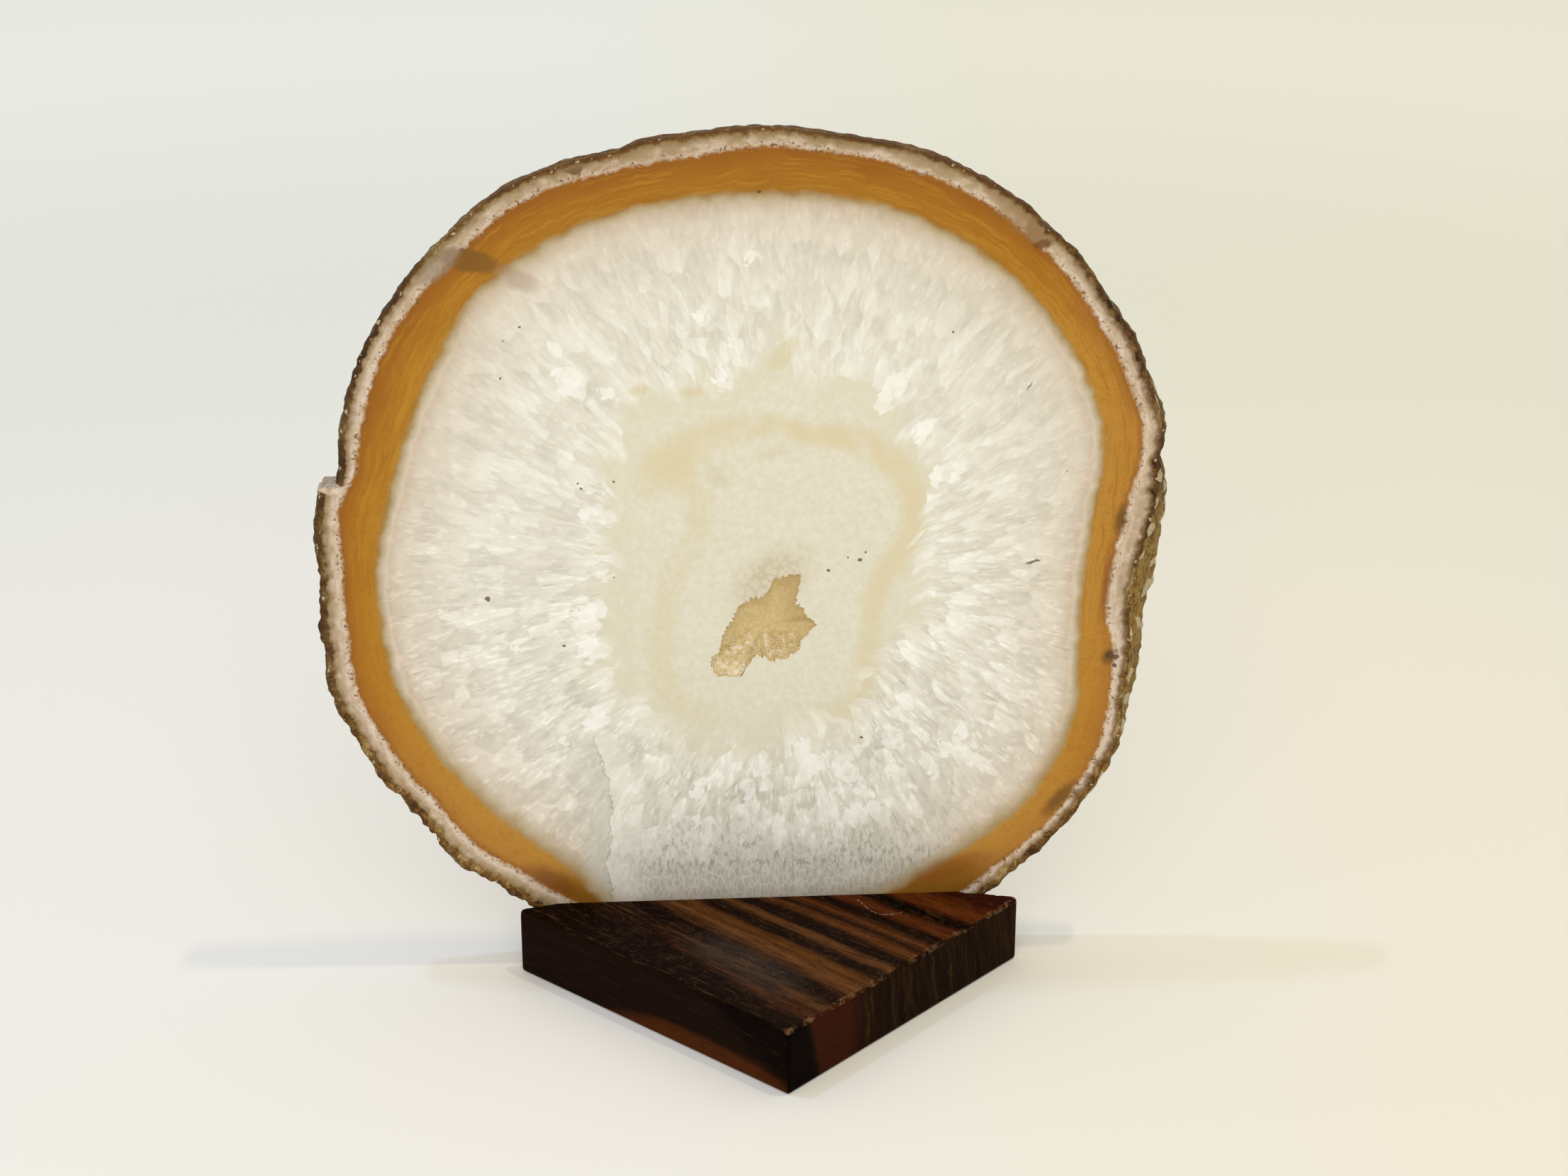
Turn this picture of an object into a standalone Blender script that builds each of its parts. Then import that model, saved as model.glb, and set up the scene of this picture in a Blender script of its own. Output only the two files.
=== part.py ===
"""Agate slice standing in a shallow groove across a kite-shaped block of dark wood.

Metres, +Z up. The origin is at the middle of the whole object's footprint, on the surface it stands on.
The slice's two polished faces lie square to Y, and -Y is the front.
"""

import math
import random

import bmesh
import bpy
from mathutils import Matrix, Vector, noise

# Wood block, with its square corner at the front and a shallow corner at the back
BLOCK_THICKNESS = 0.0124
BLOCK_LEFT_LEG = 0.0660
BLOCK_RIGHT_LEG = 0.0646
BLOCK_FRONT_CORNER = (0.0040, -0.0293)
BLOCK_REAR_CORNER = (0.0030, 0.0293)
BLOCK_CORNER_RADII = {"front": 0.0005, "right": 0.0010, "rear": 0.0030, "left": 0.0010}
BLOCK_ARC_STEPS = 6
BLOCK_EDGE_BEVEL = 0.0007
BLOCK_BEVEL_STEPS = 2
BLOCK_BEVEL_ANGLE = math.radians(50)
LEG_ANGLE = math.radians(45)

# Stone slice
SLICE_THICKNESS = 0.0060
SLICE_FRONT_Y = 0.0192
SLICE_CENTRE = (-0.0006, 0.0840)
RIM_STEP = 0.0015
RIM_LEVELS = 5
RIM_BULGE = 0.0003
LUMP_DEPTH = 0.0005
LUMP_LENGTH = 0.0050
GRIT_DEPTH = 0.0004
GRIT_LENGTH = 0.0022
GRIT_OFFSET = Vector((5.0, 3.0, 1.0))
# Share of the rind's roughness that shows along the sawn front edge
FACE_EDGE_SHARE = 0.35

# Where the stone is let into the wood
CLEARANCE = 0.0003
GROOVE_DEPTH = 0.0013
FOOT_Z = BLOCK_THICKNESS - GROOVE_DEPTH + CLEARANCE

# Outline of the polished front face as (x, z), clockwise from the notch on the left, over the top, down the
# right side, under the foot where the stone is sawn away, and up the left side to the broken tooth.
FACE_OUTLINE = [
    (-0.0705, 0.0937),
    (-0.0701, 0.0970),
    (-0.0694, 0.1028),
    (-0.0680, 0.1097),
    (-0.0648, 0.1181),
    (-0.0613, 0.1240),
    (-0.0566, 0.1308),
    (-0.0537, 0.1340),
    (-0.0484, 0.1390),
    (-0.0438, 0.1430),
    (-0.0373, 0.1469),
    (-0.0307, 0.1494),
    (-0.0212, 0.1516),
    (-0.0178, 0.1529),
    (-0.0099, 0.1541),
    (-0.0004, 0.1552),
    (0.0047, 0.1552),
    (0.0126, 0.1542),
    (0.0195, 0.1530),
    (0.0256, 0.1518),
    (0.0314, 0.1500),
    (0.0375, 0.1473),
    (0.0435, 0.1438),
    (0.0486, 0.1400),
    (0.0512, 0.1374),
    (0.0550, 0.1338),
    (0.0590, 0.1290),
    (0.0611, 0.1254),
    (0.0645, 0.1206),
    (0.0673, 0.1161),
    (0.0688, 0.1116),
    (0.0705, 0.1071),
    (0.0722, 0.1029),
    (0.0724, 0.0980),
    (0.0717, 0.0958),
    (0.0716, 0.0902),
    (0.0711, 0.0844),
    (0.0690, 0.0768),
    (0.0684, 0.0716),
    (0.0679, 0.0652),
    (0.0682, 0.0590),
    (0.0680, 0.0542),
    (0.0672, 0.0490),
    (0.0671, 0.0448),
    (0.0664, 0.0410),
    (0.0649, 0.0369),
    (0.0623, 0.0329),
    (0.0592, 0.0275),
    (0.0538, 0.0209),
    (0.0484, 0.0162),
    (0.0434, 0.0116),
    (0.0340, 0.0050),
    (0.0180, 0.0005),
    (0.0000, -0.0010),
    (-0.0180, 0.0010),
    (-0.0310, 0.0065),
    (-0.0391, 0.0114),
    (-0.0415, 0.0133),
    (-0.0455, 0.0164),
    (-0.0485, 0.0179),
    (-0.0524, 0.0208),
    (-0.0564, 0.0260),
    (-0.0607, 0.0326),
    (-0.0647, 0.0368),
    (-0.0677, 0.0426),
    (-0.0714, 0.0493),
    (-0.0737, 0.0560),
    (-0.0743, 0.0640),
    (-0.0746, 0.0710),
    (-0.0744, 0.0774),
    (-0.0747, 0.0837),
    (-0.0743, 0.0885),
    (-0.0740, 0.0918),
    (-0.0736, 0.0937),
]

# How far the back edge of the rim stands out beyond the front edge, by angle in degrees round the slice,
# counted from the right-hand side and turning towards the top.
RIM_FLARE = [
    (-180, -0.0004),
    (-120, 0.0002),
    (-75, 0.0000),
    (-50, 0.0010),
    (-33, 0.0019),
    (-18, 0.0033),
    (-7, 0.0046),
    (3, 0.0028),
    (12, 0.0008),
    (40, -0.0006),
    (90, -0.0012),
    (135, -0.0008),
    (180, -0.0004),
]

# Hollow in the core: its mouth in the front face as (x, z), clockwise from the top
HOLLOW_MOUTH = [
    (0.0093, 0.0755),
    (0.0090, 0.0730),
    (0.0085, 0.0710),
    (0.0098, 0.0688),
    (0.0105, 0.0674),
    (0.0120, 0.0662),
    (0.0109, 0.0644),
    (0.0095, 0.0628),
    (0.0090, 0.0615),
    (0.0062, 0.0596),
    (0.0033, 0.0593),
    (0.0016, 0.0605),
    (-0.0002, 0.0584),
    (-0.0007, 0.0567),
    (-0.0032, 0.0566),
    (-0.0057, 0.0570),
    (-0.0066, 0.0600),
    (-0.0051, 0.0614),
    (-0.0046, 0.0639),
    (-0.0038, 0.0658),
    (-0.0029, 0.0675),
    (-0.0016, 0.0698),
    (0.0007, 0.0716),
    (0.0028, 0.0718),
    (0.0041, 0.0738),
    (0.0047, 0.0750),
    (0.0073, 0.0756),
]
HOLLOW_CENTRE = (0.0030, 0.0655)
# The hollow narrows with depth: (depth below the face, size beside the mouth)
HOLLOW_SECTIONS = [(0.0000, 1.00), (0.0016, 0.96), (0.0032, 0.86), (0.0044, 0.66)]

# Crystal crust in the hollow: depths are below the stone's face
WALL_GAP = 0.00035
CRUST_TOP_DEPTH = 0.0004
CRUST_WALL = 0.0007
CRUST_FLOOR_DEPTH = 0.0031
CRYSTAL_SEED = 7
CRYSTAL_SIDES = 6
CRYSTAL_RADIUS = (0.0005, 0.0011)
CRYSTAL_LENGTH = (0.0012, 0.0026)
CRYSTAL_PRISM_SHARE = 0.55
CRYSTAL_SCATTER = 0.30
# On the floor the crystals lean towards the middle, more so the further out they stand.
FLOOR_CRYSTALS = 44
FLOOR_LEAN = 0.45
# On the wall they stand at these depths, at a share of the way out from the middle, and lean inwards.
WALL_CRYSTALS = 34
WALL_DEPTHS = (0.0009, 0.0026)
WALL_FOOT_SHARE = 0.95
WALL_LEAN = 0.70

# Helpers that cut: how far they run past what they cut, and the least slant that a moved corner allows for
CUT_OVERRUN = 0.0010
CUTTER_REACH = 0.2
MITRE_LEAST_COSINE = 0.6

# Base colour and roughness
AGATE_LOOK = ((0.78, 0.62, 0.40), 0.15)
QUARTZ_LOOK = ((0.70, 0.55, 0.36), 0.25)
WOOD_LOOK = ((0.10, 0.05, 0.03), 0.5)


def new_collection(name):
    collection = bpy.data.collections.new(name)
    bpy.context.scene.collection.children.link(collection)
    return collection


def make_material(name, color, roughness):
    material = bpy.data.materials.new(name)
    material.use_nodes = True
    shader = material.node_tree.nodes["Principled BSDF"]
    shader.inputs["Base Color"].default_value = (*color, 1.0)
    shader.inputs["Roughness"].default_value = roughness
    shader.inputs["Metallic"].default_value = 0.0
    return material


def object_from_bmesh(bm, name, collection, material=None):
    bmesh.ops.recalc_face_normals(bm, faces=bm.faces)
    mesh = bpy.data.meshes.new(name)
    bm.to_mesh(mesh)
    bm.free()
    obj = bpy.data.objects.new(name, mesh)
    collection.objects.link(obj)
    if material:
        mesh.materials.append(material)
    return obj


def make_helper(obj):
    """Hides an object that only cuts or joins another."""
    obj.hide_render = True
    obj.display_type = "WIRE"
    return obj


def add_boolean(obj, helper, operation, use_self=False):
    modifier = obj.modifiers.new(f"{operation.lower()} {helper.name}", "BOOLEAN")
    modifier.operation = operation
    modifier.solver = "EXACT"
    modifier.use_self = use_self
    modifier.object = helper


def box_helper(name, low, high, collection):
    bm = bmesh.new()
    low = Vector(low)
    high = Vector(high)
    size = high - low
    place = Matrix.Translation((low + high) / 2) @ Matrix.Diagonal((*size, 1.0))
    bmesh.ops.create_cube(bm, size=1.0, matrix=place)
    return make_helper(object_from_bmesh(bm, name, collection))


def smooth_run(points, step):
    """Points about one step apart on a smooth curve through the given points, ends included."""
    points = [Vector(p) for p in points]
    padded = [points[0], *points, points[-1]]
    run = []
    for a, b, c, d in zip(padded, padded[1:], padded[2:], padded[3:]):
        parts = max(1, round((c - b).length / step))
        for i in range(parts):
            t = i / parts
            pull = (c - a) * t + (2 * a - 5 * b + 4 * c - d) * t**2 + (3 * b - a - 3 * c + d) * t**3
            run.append(b + pull / 2)
    run.append(points[-1])
    return run


def interpolate(table, x):
    """Smoothly blended value at x from a table of (x, value) in rising order, level beyond its ends."""
    for (x0, v0), (x1, v1) in zip(table, table[1:]):
        if x <= x1:
            t = max(0.0, (x - x0) / (x1 - x0))
            return v0 + (v1 - v0) * t * t * (3 - 2 * t)
    return table[-1][1]


def loft(bm, sections):
    """A closed body through sections that have equal numbers of corners, with a flat face at each end."""
    rings = [[bm.verts.new(corner) for corner in section] for section in sections]
    for near, far in zip(rings, rings[1:]):
        for i, corner in enumerate(near):
            j = (i + 1) % len(near)
            bm.faces.new((corner, near[j], far[j], far[i]))
    bm.faces.new(rings[0])
    bm.faces.new(reversed(rings[-1]))


def rim_noise(point):
    """Height of the rough rind at a point of the rim: broad lumps with finer grit on them."""
    lumps = noise.noise(point / LUMP_LENGTH)
    grit = noise.noise(point / GRIT_LENGTH + GRIT_OFFSET)
    return LUMP_DEPTH * lumps + GRIT_DEPTH * grit


def rim_section(outline, share):
    """The slice's outline at a share of its thickness behind the front face, on the flared, lumpy rim."""
    centre = Vector(SLICE_CENTRE)
    y = SLICE_FRONT_Y + SLICE_THICKNESS * share
    corners = []
    for point in outline:
        spoke = point - centre
        angle = math.degrees(math.atan2(spoke.y, spoke.x))
        rough = rim_noise(Vector((point.x, y, point.y)))
        if share == 0:
            rough *= FACE_EDGE_SHARE
        bulge = RIM_BULGE * 4 * share * (1 - share)
        flare = interpolate(RIM_FLARE, angle) * share
        point = point + spoke.normalized() * (rough + bulge + flare)
        corners.append((point.x, y, point.y))
    return corners


def drawn_in(outline, distance):
    """A clockwise outline with every edge moved inwards by a distance."""
    moved = []
    for i, point in enumerate(outline):
        before = (point - outline[i - 1]).normalized()
        after = (outline[(i + 1) % len(outline)] - point).normalized()
        inward = Vector((before.y + after.y, -before.x - after.x)).normalized()
        cosine = max(MITRE_LEAST_COSINE, inward.dot(Vector((after.y, -after.x))))
        moved.append(point + inward * (distance / cosine))
    return moved


def hollow_section(depth, inset):
    """Corners of the hollow at a depth below the face, with its wall moved inwards by inset."""
    centre = Vector(HOLLOW_CENTRE)
    share = interpolate(HOLLOW_SECTIONS, depth)
    outline = drawn_in([centre + (Vector(p) - centre) * share for p in HOLLOW_MOUTH], inset)
    return [(p.x, SLICE_FRONT_Y + depth, p.y) for p in outline]


def hollow_helper(name, depths, inset, collection):
    bm = bmesh.new()
    loft(bm, [hollow_section(depth, inset) for depth in depths])
    return make_helper(object_from_bmesh(bm, name, collection))


def make_slice(collection, cutters):
    run = smooth_run(FACE_OUTLINE, RIM_STEP)
    bm = bmesh.new()
    loft(bm, [rim_section(run, level / RIM_LEVELS) for level in range(RIM_LEVELS + 1)])
    material = make_material("agate", *AGATE_LOOK)
    stone = object_from_bmesh(bm, "agate_slice", collection, material)

    low = (-CUTTER_REACH, -CUTTER_REACH, -CUTTER_REACH)
    foot = box_helper("foot_cut", low, (CUTTER_REACH, CUTTER_REACH, FOOT_Z), cutters)
    add_boolean(stone, foot, "DIFFERENCE")

    depths = [-CUT_OVERRUN, *(depth for depth, _ in HOLLOW_SECTIONS)]
    hollow = hollow_helper("hollow_cut", depths, 0.0, cutters)
    add_boolean(stone, hollow, "DIFFERENCE")
    return stone


def add_crystal(bm, foot, direction, radius, length):
    """A six-sided prism that ends in a point, with its foot at a place and its tip along a direction."""
    turn = direction.to_track_quat("Z", "Y").to_matrix().to_4x4()
    prism = length * CRYSTAL_PRISM_SHARE
    centre = Matrix.Translation(foot + direction * prism / 2)
    made = bmesh.ops.create_cone(
        bm,
        cap_ends=True,
        segments=CRYSTAL_SIDES,
        radius1=radius,
        radius2=radius,
        depth=prism,
        matrix=centre @ turn,
    )["verts"]
    faces = {face for corner in made for face in corner.link_faces}
    top = max(faces, key=lambda face: face.calc_center_median().dot(direction))
    tip = bmesh.ops.poke(bm, faces=[top])["verts"][0]
    tip.co = foot + direction * length


def crystal_points(collection):
    """All the crystals of the crust in one helper: some on the floor of the hollow and some on its wall."""
    rng = random.Random(CRYSTAL_SEED)
    centre = Vector((HOLLOW_CENTRE[0], 0.0, HOLLOW_CENTRE[1]))
    outward = Vector((0.0, -1.0, 0.0))
    bm = bmesh.new()
    for i in range(FLOOR_CRYSTALS + WALL_CRYSTALS):
        on_floor = i < FLOOR_CRYSTALS
        wall = hollow_section(CRUST_FLOOR_DEPTH if on_floor else rng.uniform(*WALL_DEPTHS), CLEARANCE)
        edge = Vector(rng.choice(wall))
        share = math.sqrt(rng.random()) if on_floor else WALL_FOOT_SHARE
        foot = Vector((centre.x, edge.y, centre.z)).lerp(edge, share)
        inward = (Vector((centre.x, edge.y, centre.z)) - edge).normalized()
        lean = share * FLOOR_LEAN if on_floor else WALL_LEAN
        direction = outward.lerp(inward, lean)
        direction += Vector([rng.uniform(-CRYSTAL_SCATTER, CRYSTAL_SCATTER) for _ in range(3)])
        radius = rng.uniform(*CRYSTAL_RADIUS)
        add_crystal(bm, foot, direction.normalized(), radius, rng.uniform(*CRYSTAL_LENGTH))
    return make_helper(object_from_bmesh(bm, "crystal_points", collection))


def keep_outer_shell(obj):
    """Applies an object's modifiers and drops the small voids that they sealed between crystals."""
    graph = bpy.context.evaluated_depsgraph_get()
    mesh = bpy.data.meshes.new_from_object(obj.evaluated_get(graph))
    obj.modifiers.clear()
    obj.data = mesh
    bm = bmesh.new()
    bm.from_mesh(mesh)
    shells = []
    unseen = set(bm.faces)
    while unseen:
        front = [unseen.pop()]
        shell = list(front)
        while front:
            face = front.pop()
            near = {other for edge in face.edges for other in edge.link_faces} & unseen
            unseen -= near
            front.extend(near)
            shell.extend(near)
        shells.append(shell)
    shells.sort(key=len)
    voids = [face for shell in shells[:-1] for face in shell]
    bmesh.ops.delete(bm, geom=voids, context="FACES")
    bm.to_mesh(mesh)
    bm.free()


def make_druse(collection, cutters):
    """The crust: a thin lining of the hollow with crystals fused to it, kept clear of the stone's wall."""
    middle_depths = [depth for depth, _ in HOLLOW_SECTIONS[1:-1]]
    full_depth = HOLLOW_SECTIONS[-1][0]
    bm = bmesh.new()
    loft(bm, [hollow_section(depth, 0.0) for depth in [0.0, *middle_depths, full_depth]])
    material = make_material("druse_quartz", *QUARTZ_LOOK)
    crust = object_from_bmesh(bm, "druse_crystals", collection, material)

    inner_depths = [-CUT_OVERRUN, middle_depths[0], CRUST_FLOOR_DEPTH]
    inner = hollow_helper("crust_inner_cut", inner_depths, WALL_GAP + CRUST_WALL, cutters)
    add_boolean(crust, inner, "DIFFERENCE")
    add_boolean(crust, crystal_points(cutters), "UNION", use_self=True)
    limit_depths = [CRUST_TOP_DEPTH, *middle_depths, full_depth - WALL_GAP]
    limit = hollow_helper("crust_limit", limit_depths, WALL_GAP, cutters)
    add_boolean(crust, limit, "INTERSECT")
    keep_outer_shell(crust)
    return crust


def block_outline():
    """The block's outline from above, anticlockwise from the front corner, with rounded corners."""
    front = Vector(BLOCK_FRONT_CORNER)
    right = front + Vector((math.cos(LEG_ANGLE), math.sin(LEG_ANGLE))) * BLOCK_RIGHT_LEG
    left = front + Vector((-math.cos(LEG_ANGLE), math.sin(LEG_ANGLE))) * BLOCK_LEFT_LEG
    corners = {"front": front, "right": right, "rear": Vector(BLOCK_REAR_CORNER), "left": left}
    names = list(corners)
    outline = []
    for i, name in enumerate(names):
        corner = corners[name]
        to_before = (corners[names[i - 1]] - corner).normalized()
        to_after = (corners[names[(i + 1) % len(names)]] - corner).normalized()
        half = to_before.angle(to_after) / 2
        radius = BLOCK_CORNER_RADII[name]
        middle = corner + (to_before + to_after).normalized() * (radius / math.sin(half))
        start = corner + to_before * (radius / math.tan(half)) - middle
        turn = math.pi - 2 * half
        for step in range(BLOCK_ARC_STEPS + 1):
            swing = Matrix.Rotation(turn * step / BLOCK_ARC_STEPS, 2)
            outline.append(middle + swing @ start)
    return outline


def make_block(collection, cutters):
    bm = bmesh.new()
    base = bm.faces.new([bm.verts.new((x, y, 0.0)) for x, y in block_outline()])
    made = bmesh.ops.extrude_face_region(bm, geom=[base], use_keep_orig=True)["geom"]
    top = [item for item in made if isinstance(item, bmesh.types.BMVert)]
    bmesh.ops.translate(bm, vec=(0.0, 0.0, BLOCK_THICKNESS), verts=top)
    material = make_material("striped_wood", *WOOD_LOOK)
    block = object_from_bmesh(bm, "wood_block", collection, material)

    bevel = block.modifiers.new("sanded edges", "BEVEL")
    bevel.width = BLOCK_EDGE_BEVEL
    bevel.segments = BLOCK_BEVEL_STEPS
    bevel.limit_method = "ANGLE"
    bevel.angle_limit = BLOCK_BEVEL_ANGLE

    low = (-CUTTER_REACH, SLICE_FRONT_Y - CLEARANCE, BLOCK_THICKNESS - GROOVE_DEPTH)
    high = (CUTTER_REACH, SLICE_FRONT_Y + SLICE_THICKNESS + CLEARANCE, CUTTER_REACH)
    add_boolean(block, box_helper("groove_cut", low, high, cutters), "DIFFERENCE")
    return block


def main():
    for obj in list(bpy.data.objects):
        bpy.data.objects.remove(obj)
    parts = new_collection("agate_slice_on_block")
    cutters = new_collection("cutters")
    cutters.hide_render = True
    make_slice(parts, cutters)
    make_druse(parts, cutters)
    make_block(parts, cutters)


main()
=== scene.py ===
"""Looks of the agate slice on its wooden block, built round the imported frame.

The script's objects are in metres, +Z up, with -Y the front. Sizes and places on the pieces are written in
millimetres in the same frame, and places on the stone as (x, z) in the plane of its front face.
"""

import math
import random

import bmesh
import bpy
import numpy as np
from mathutils import Matrix, Vector, noise


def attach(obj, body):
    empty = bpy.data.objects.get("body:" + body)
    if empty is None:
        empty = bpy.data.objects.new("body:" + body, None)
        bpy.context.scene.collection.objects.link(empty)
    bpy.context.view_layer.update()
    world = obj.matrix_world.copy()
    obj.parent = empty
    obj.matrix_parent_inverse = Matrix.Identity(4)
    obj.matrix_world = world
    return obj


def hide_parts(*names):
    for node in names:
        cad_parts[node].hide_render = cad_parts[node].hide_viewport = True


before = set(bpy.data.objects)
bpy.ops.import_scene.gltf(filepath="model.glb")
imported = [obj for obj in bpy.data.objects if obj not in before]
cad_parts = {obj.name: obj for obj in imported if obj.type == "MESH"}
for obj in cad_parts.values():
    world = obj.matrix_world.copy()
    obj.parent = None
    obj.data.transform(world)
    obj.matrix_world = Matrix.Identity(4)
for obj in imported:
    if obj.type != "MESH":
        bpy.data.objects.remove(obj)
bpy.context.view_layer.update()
MM = 0.001

# Stone slice, as in the solid
FRONT_Y = 19.2
THICKNESS = 6.0
CENTRE = np.array((-0.6, 84.0))
FOOT_Z = 11.4
RIM_BULGE = 0.3
LUMP_DEPTH = 0.5
LUMP_LENGTH = 5.0
GRIT_DEPTH = 0.4
GRIT_LENGTH = 2.2
GRIT_OFFSET = (5.0, 3.0, 1.0)
FACE_EDGE_SHARE = 0.35
# Grains of the rind that are finer than the solid's
GRAIN_DEPTH = 0.4
GRAIN_LENGTH = 1.3
# Roughness of the rim, as a share, by angle in degrees from the right towards the top
RIM_ROUGHNESS = [
    (-60, 1.2), (-20, 1.0), (20, 0.8), (50, 0.6), (90, 0.45), (120, 0.55), (150, 0.8), (200, 1.1),
    (240, 1.3),
]

# Chips along the sawn edges
CHIP_DEPTH = 0.8
CHIP_LENGTH = 1.3
CHIP_OFFSET = (3.0, 8.0, 2.0)

# Front outline of the stone, clockwise from the notch on the left
FACE_OUTLINE = [
    (-70.5, 93.7), (-70.1, 97.0), (-69.4, 102.8), (-68.0, 109.7), (-64.8, 118.1), (-61.3, 124.0),
    (-56.6, 130.8), (-53.7, 134.0), (-48.4, 139.0), (-43.8, 143.0), (-37.3, 146.9), (-30.7, 149.4),
    (-21.2, 151.6), (-17.8, 152.9), (-9.9, 154.1), (-0.4, 155.2), (4.7, 155.2), (12.6, 154.2),
    (19.5, 153.0), (25.6, 151.8), (31.4, 150.0), (37.5, 147.3), (43.5, 143.8), (48.6, 140.0), (51.2, 137.4),
    (55.0, 133.8), (59.0, 129.0), (61.1, 125.4), (64.5, 120.6), (67.3, 116.1), (68.8, 111.6), (70.5, 107.1),
    (72.2, 102.9), (72.4, 98.0), (71.7, 95.8), (71.6, 90.2), (71.1, 84.4), (69.0, 76.8), (68.4, 71.6),
    (67.9, 65.2), (68.2, 59.0), (68.0, 54.2), (67.2, 49.0), (67.1, 44.8), (66.4, 41.0), (64.9, 36.9),
    (62.3, 32.9), (59.2, 27.5), (53.8, 20.9), (48.4, 16.2), (43.4, 11.6), (34.0, 5.0), (18.0, 0.5),
    (0.0, -1.0), (-18.0, 1.0), (-31.0, 6.5), (-39.1, 11.4), (-41.5, 13.3), (-45.5, 16.4), (-48.5, 17.9),
    (-52.4, 20.8), (-56.4, 26.0), (-60.7, 32.6), (-64.7, 36.8), (-67.7, 42.6), (-71.4, 49.3), (-73.7, 56.0),
    (-74.3, 64.0), (-74.6, 71.0), (-74.4, 77.4), (-74.7, 83.7), (-74.3, 88.5), (-74.0, 91.8), (-73.6, 93.7),
]
# How far the back edge of the rim stands out beyond the front edge, by angle from the right towards the top
RIM_FLARE = [
    (-180, -0.4), (-120, 0.2), (-75, 0.0), (-50, 1.0), (-33, 1.9), (-18, 3.3), (-7, 4.6), (3, 2.8),
    (12, 0.8), (40, -0.6), (90, -1.2), (135, -0.8), (180, -0.4),
]

# Mouth of the hollow, clockwise from the top
HOLLOW_MOUTH = [
    (9.3, 75.5), (9.0, 73.0), (8.5, 71.0), (9.8, 68.8), (10.5, 67.4), (12.0, 66.2), (10.9, 64.4),
    (9.5, 62.8), (9.0, 61.5), (6.2, 59.6), (3.3, 59.3), (1.6, 60.5), (-0.2, 58.4), (-0.7, 56.7),
    (-3.2, 56.6), (-5.7, 57.0), (-6.6, 60.0), (-5.1, 61.4), (-4.6, 63.9), (-3.8, 65.8), (-2.9, 67.5),
    (-1.6, 69.8), (0.7, 71.6), (2.8, 71.8), (4.1, 73.8), (4.7, 75.0), (7.3, 75.6),
]
HOLLOW_CENTRE = np.array((3.0, 65.5))
# Its edge is toothed, with finer teeth between the larger ones
TOOTH_DEPTH = 1.3
TOOTH_LENGTH = 1.2
FINE_TOOTH_SHARE = 0.4
FINE_TOOTH_LENGTH = 0.5
FINE_TOOTH_SHIFT = 9.0
MEAN_TOOTH = 0.25
# How the hollow narrows: (depth, size beside the mouth)
HOLLOW_SECTIONS = [(0.0, 1.0), (1.6, 0.96), (3.2, 0.86), (4.4, 0.66)]
# The mesh of the face has a ring of points round the mouth, this far out
HALO_WIDTH = 4.0

# Edges of the colour bands, by angle in degrees from the right towards the top. The amber band's inner edge
# is a radius from the slice's centre. Its outer edge and the rind's edge are widths from the rim.
AMBER_INNER = [
    (-110, 77.5), (-90, 78.0), (-72, 76.2), (-58, 74.2), (-46, 73.8), (-40, 72.4), (-34, 70.6), (-28, 67.7),
    (-22, 63.6), (-16, 61.8), (-10, 60.6), (-4, 60.4), (2, 60.7), (8, 62.7), (14, 64.6), (26, 64.8),
    (44, 64.1), (56, 63.1), (68, 62.2), (80, 60.5), (92, 59.8), (104, 60.0), (116, 61.3), (128, 61.9),
    (140, 62.5), (146, 60.7), (158, 60.3), (170, 60.7), (182, 63.3), (194, 65.4), (206, 67.6), (224, 68.8),
    (236, 70.0), (242, 70.9), (248, 73.7),
]
AMBER_OUTER = [
    (-60, 3.4), (-42, 2.7), (-33, 3.2), (-24, 2.8), (-18, 3.6), (-10, 3.3), (6, 3.8), (18, 3.4), (26, 3.8),
    (36, 3.4), (48, 3.7), (54, 3.3), (60, 3.7), (72, 3.0), (84, 3.1), (98, 4.0), (110, 3.2), (126, 3.4),
    (138, 3.6), (150, 3.1), (158, 3.8), (168, 2.9), (180, 4.3), (202, 4.6), (216, 4.4), (230, 4.7),
    (250, 4.9),
]
RIND_WIDTH = [
    (-60, 1.6), (-30, 1.1), (-5, 0.7), (10, 0.9), (28, 1.1), (45, 0.9), (70, 0.8), (110, 0.8), (140, 0.8),
    (160, 1.1), (180, 1.4), (215, 1.6), (250, 1.7),
]

# Where the pointed crystals end and the fine cream quartz of the core begins, clockwise from the left
CORE_EDGE = [
    (-19.8, 109.3), (-6.5, 111.0), (1.6, 114.4), (5.6, 117.7), (13.6, 112.0), (18.9, 112.6), (24.5, 107.6),
    (27.3, 100.4), (32.8, 94.5), (30.3, 80.1), (31.8, 71.2), (25.1, 62.3), (22.4, 53.3), (18.1, 47.3),
    (6.9, 43.0), (-1.5, 41.6), (-11.3, 44.3), (-20.9, 51.5), (-24.9, 59.1), (-24.1, 69.5), (-23.8, 81.4),
    (-22.9, 90.0), (-25.5, 95.9), (-22.6, 101.5),
]
CORE_CENTRE = np.array((3.0, 79.5))

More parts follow.
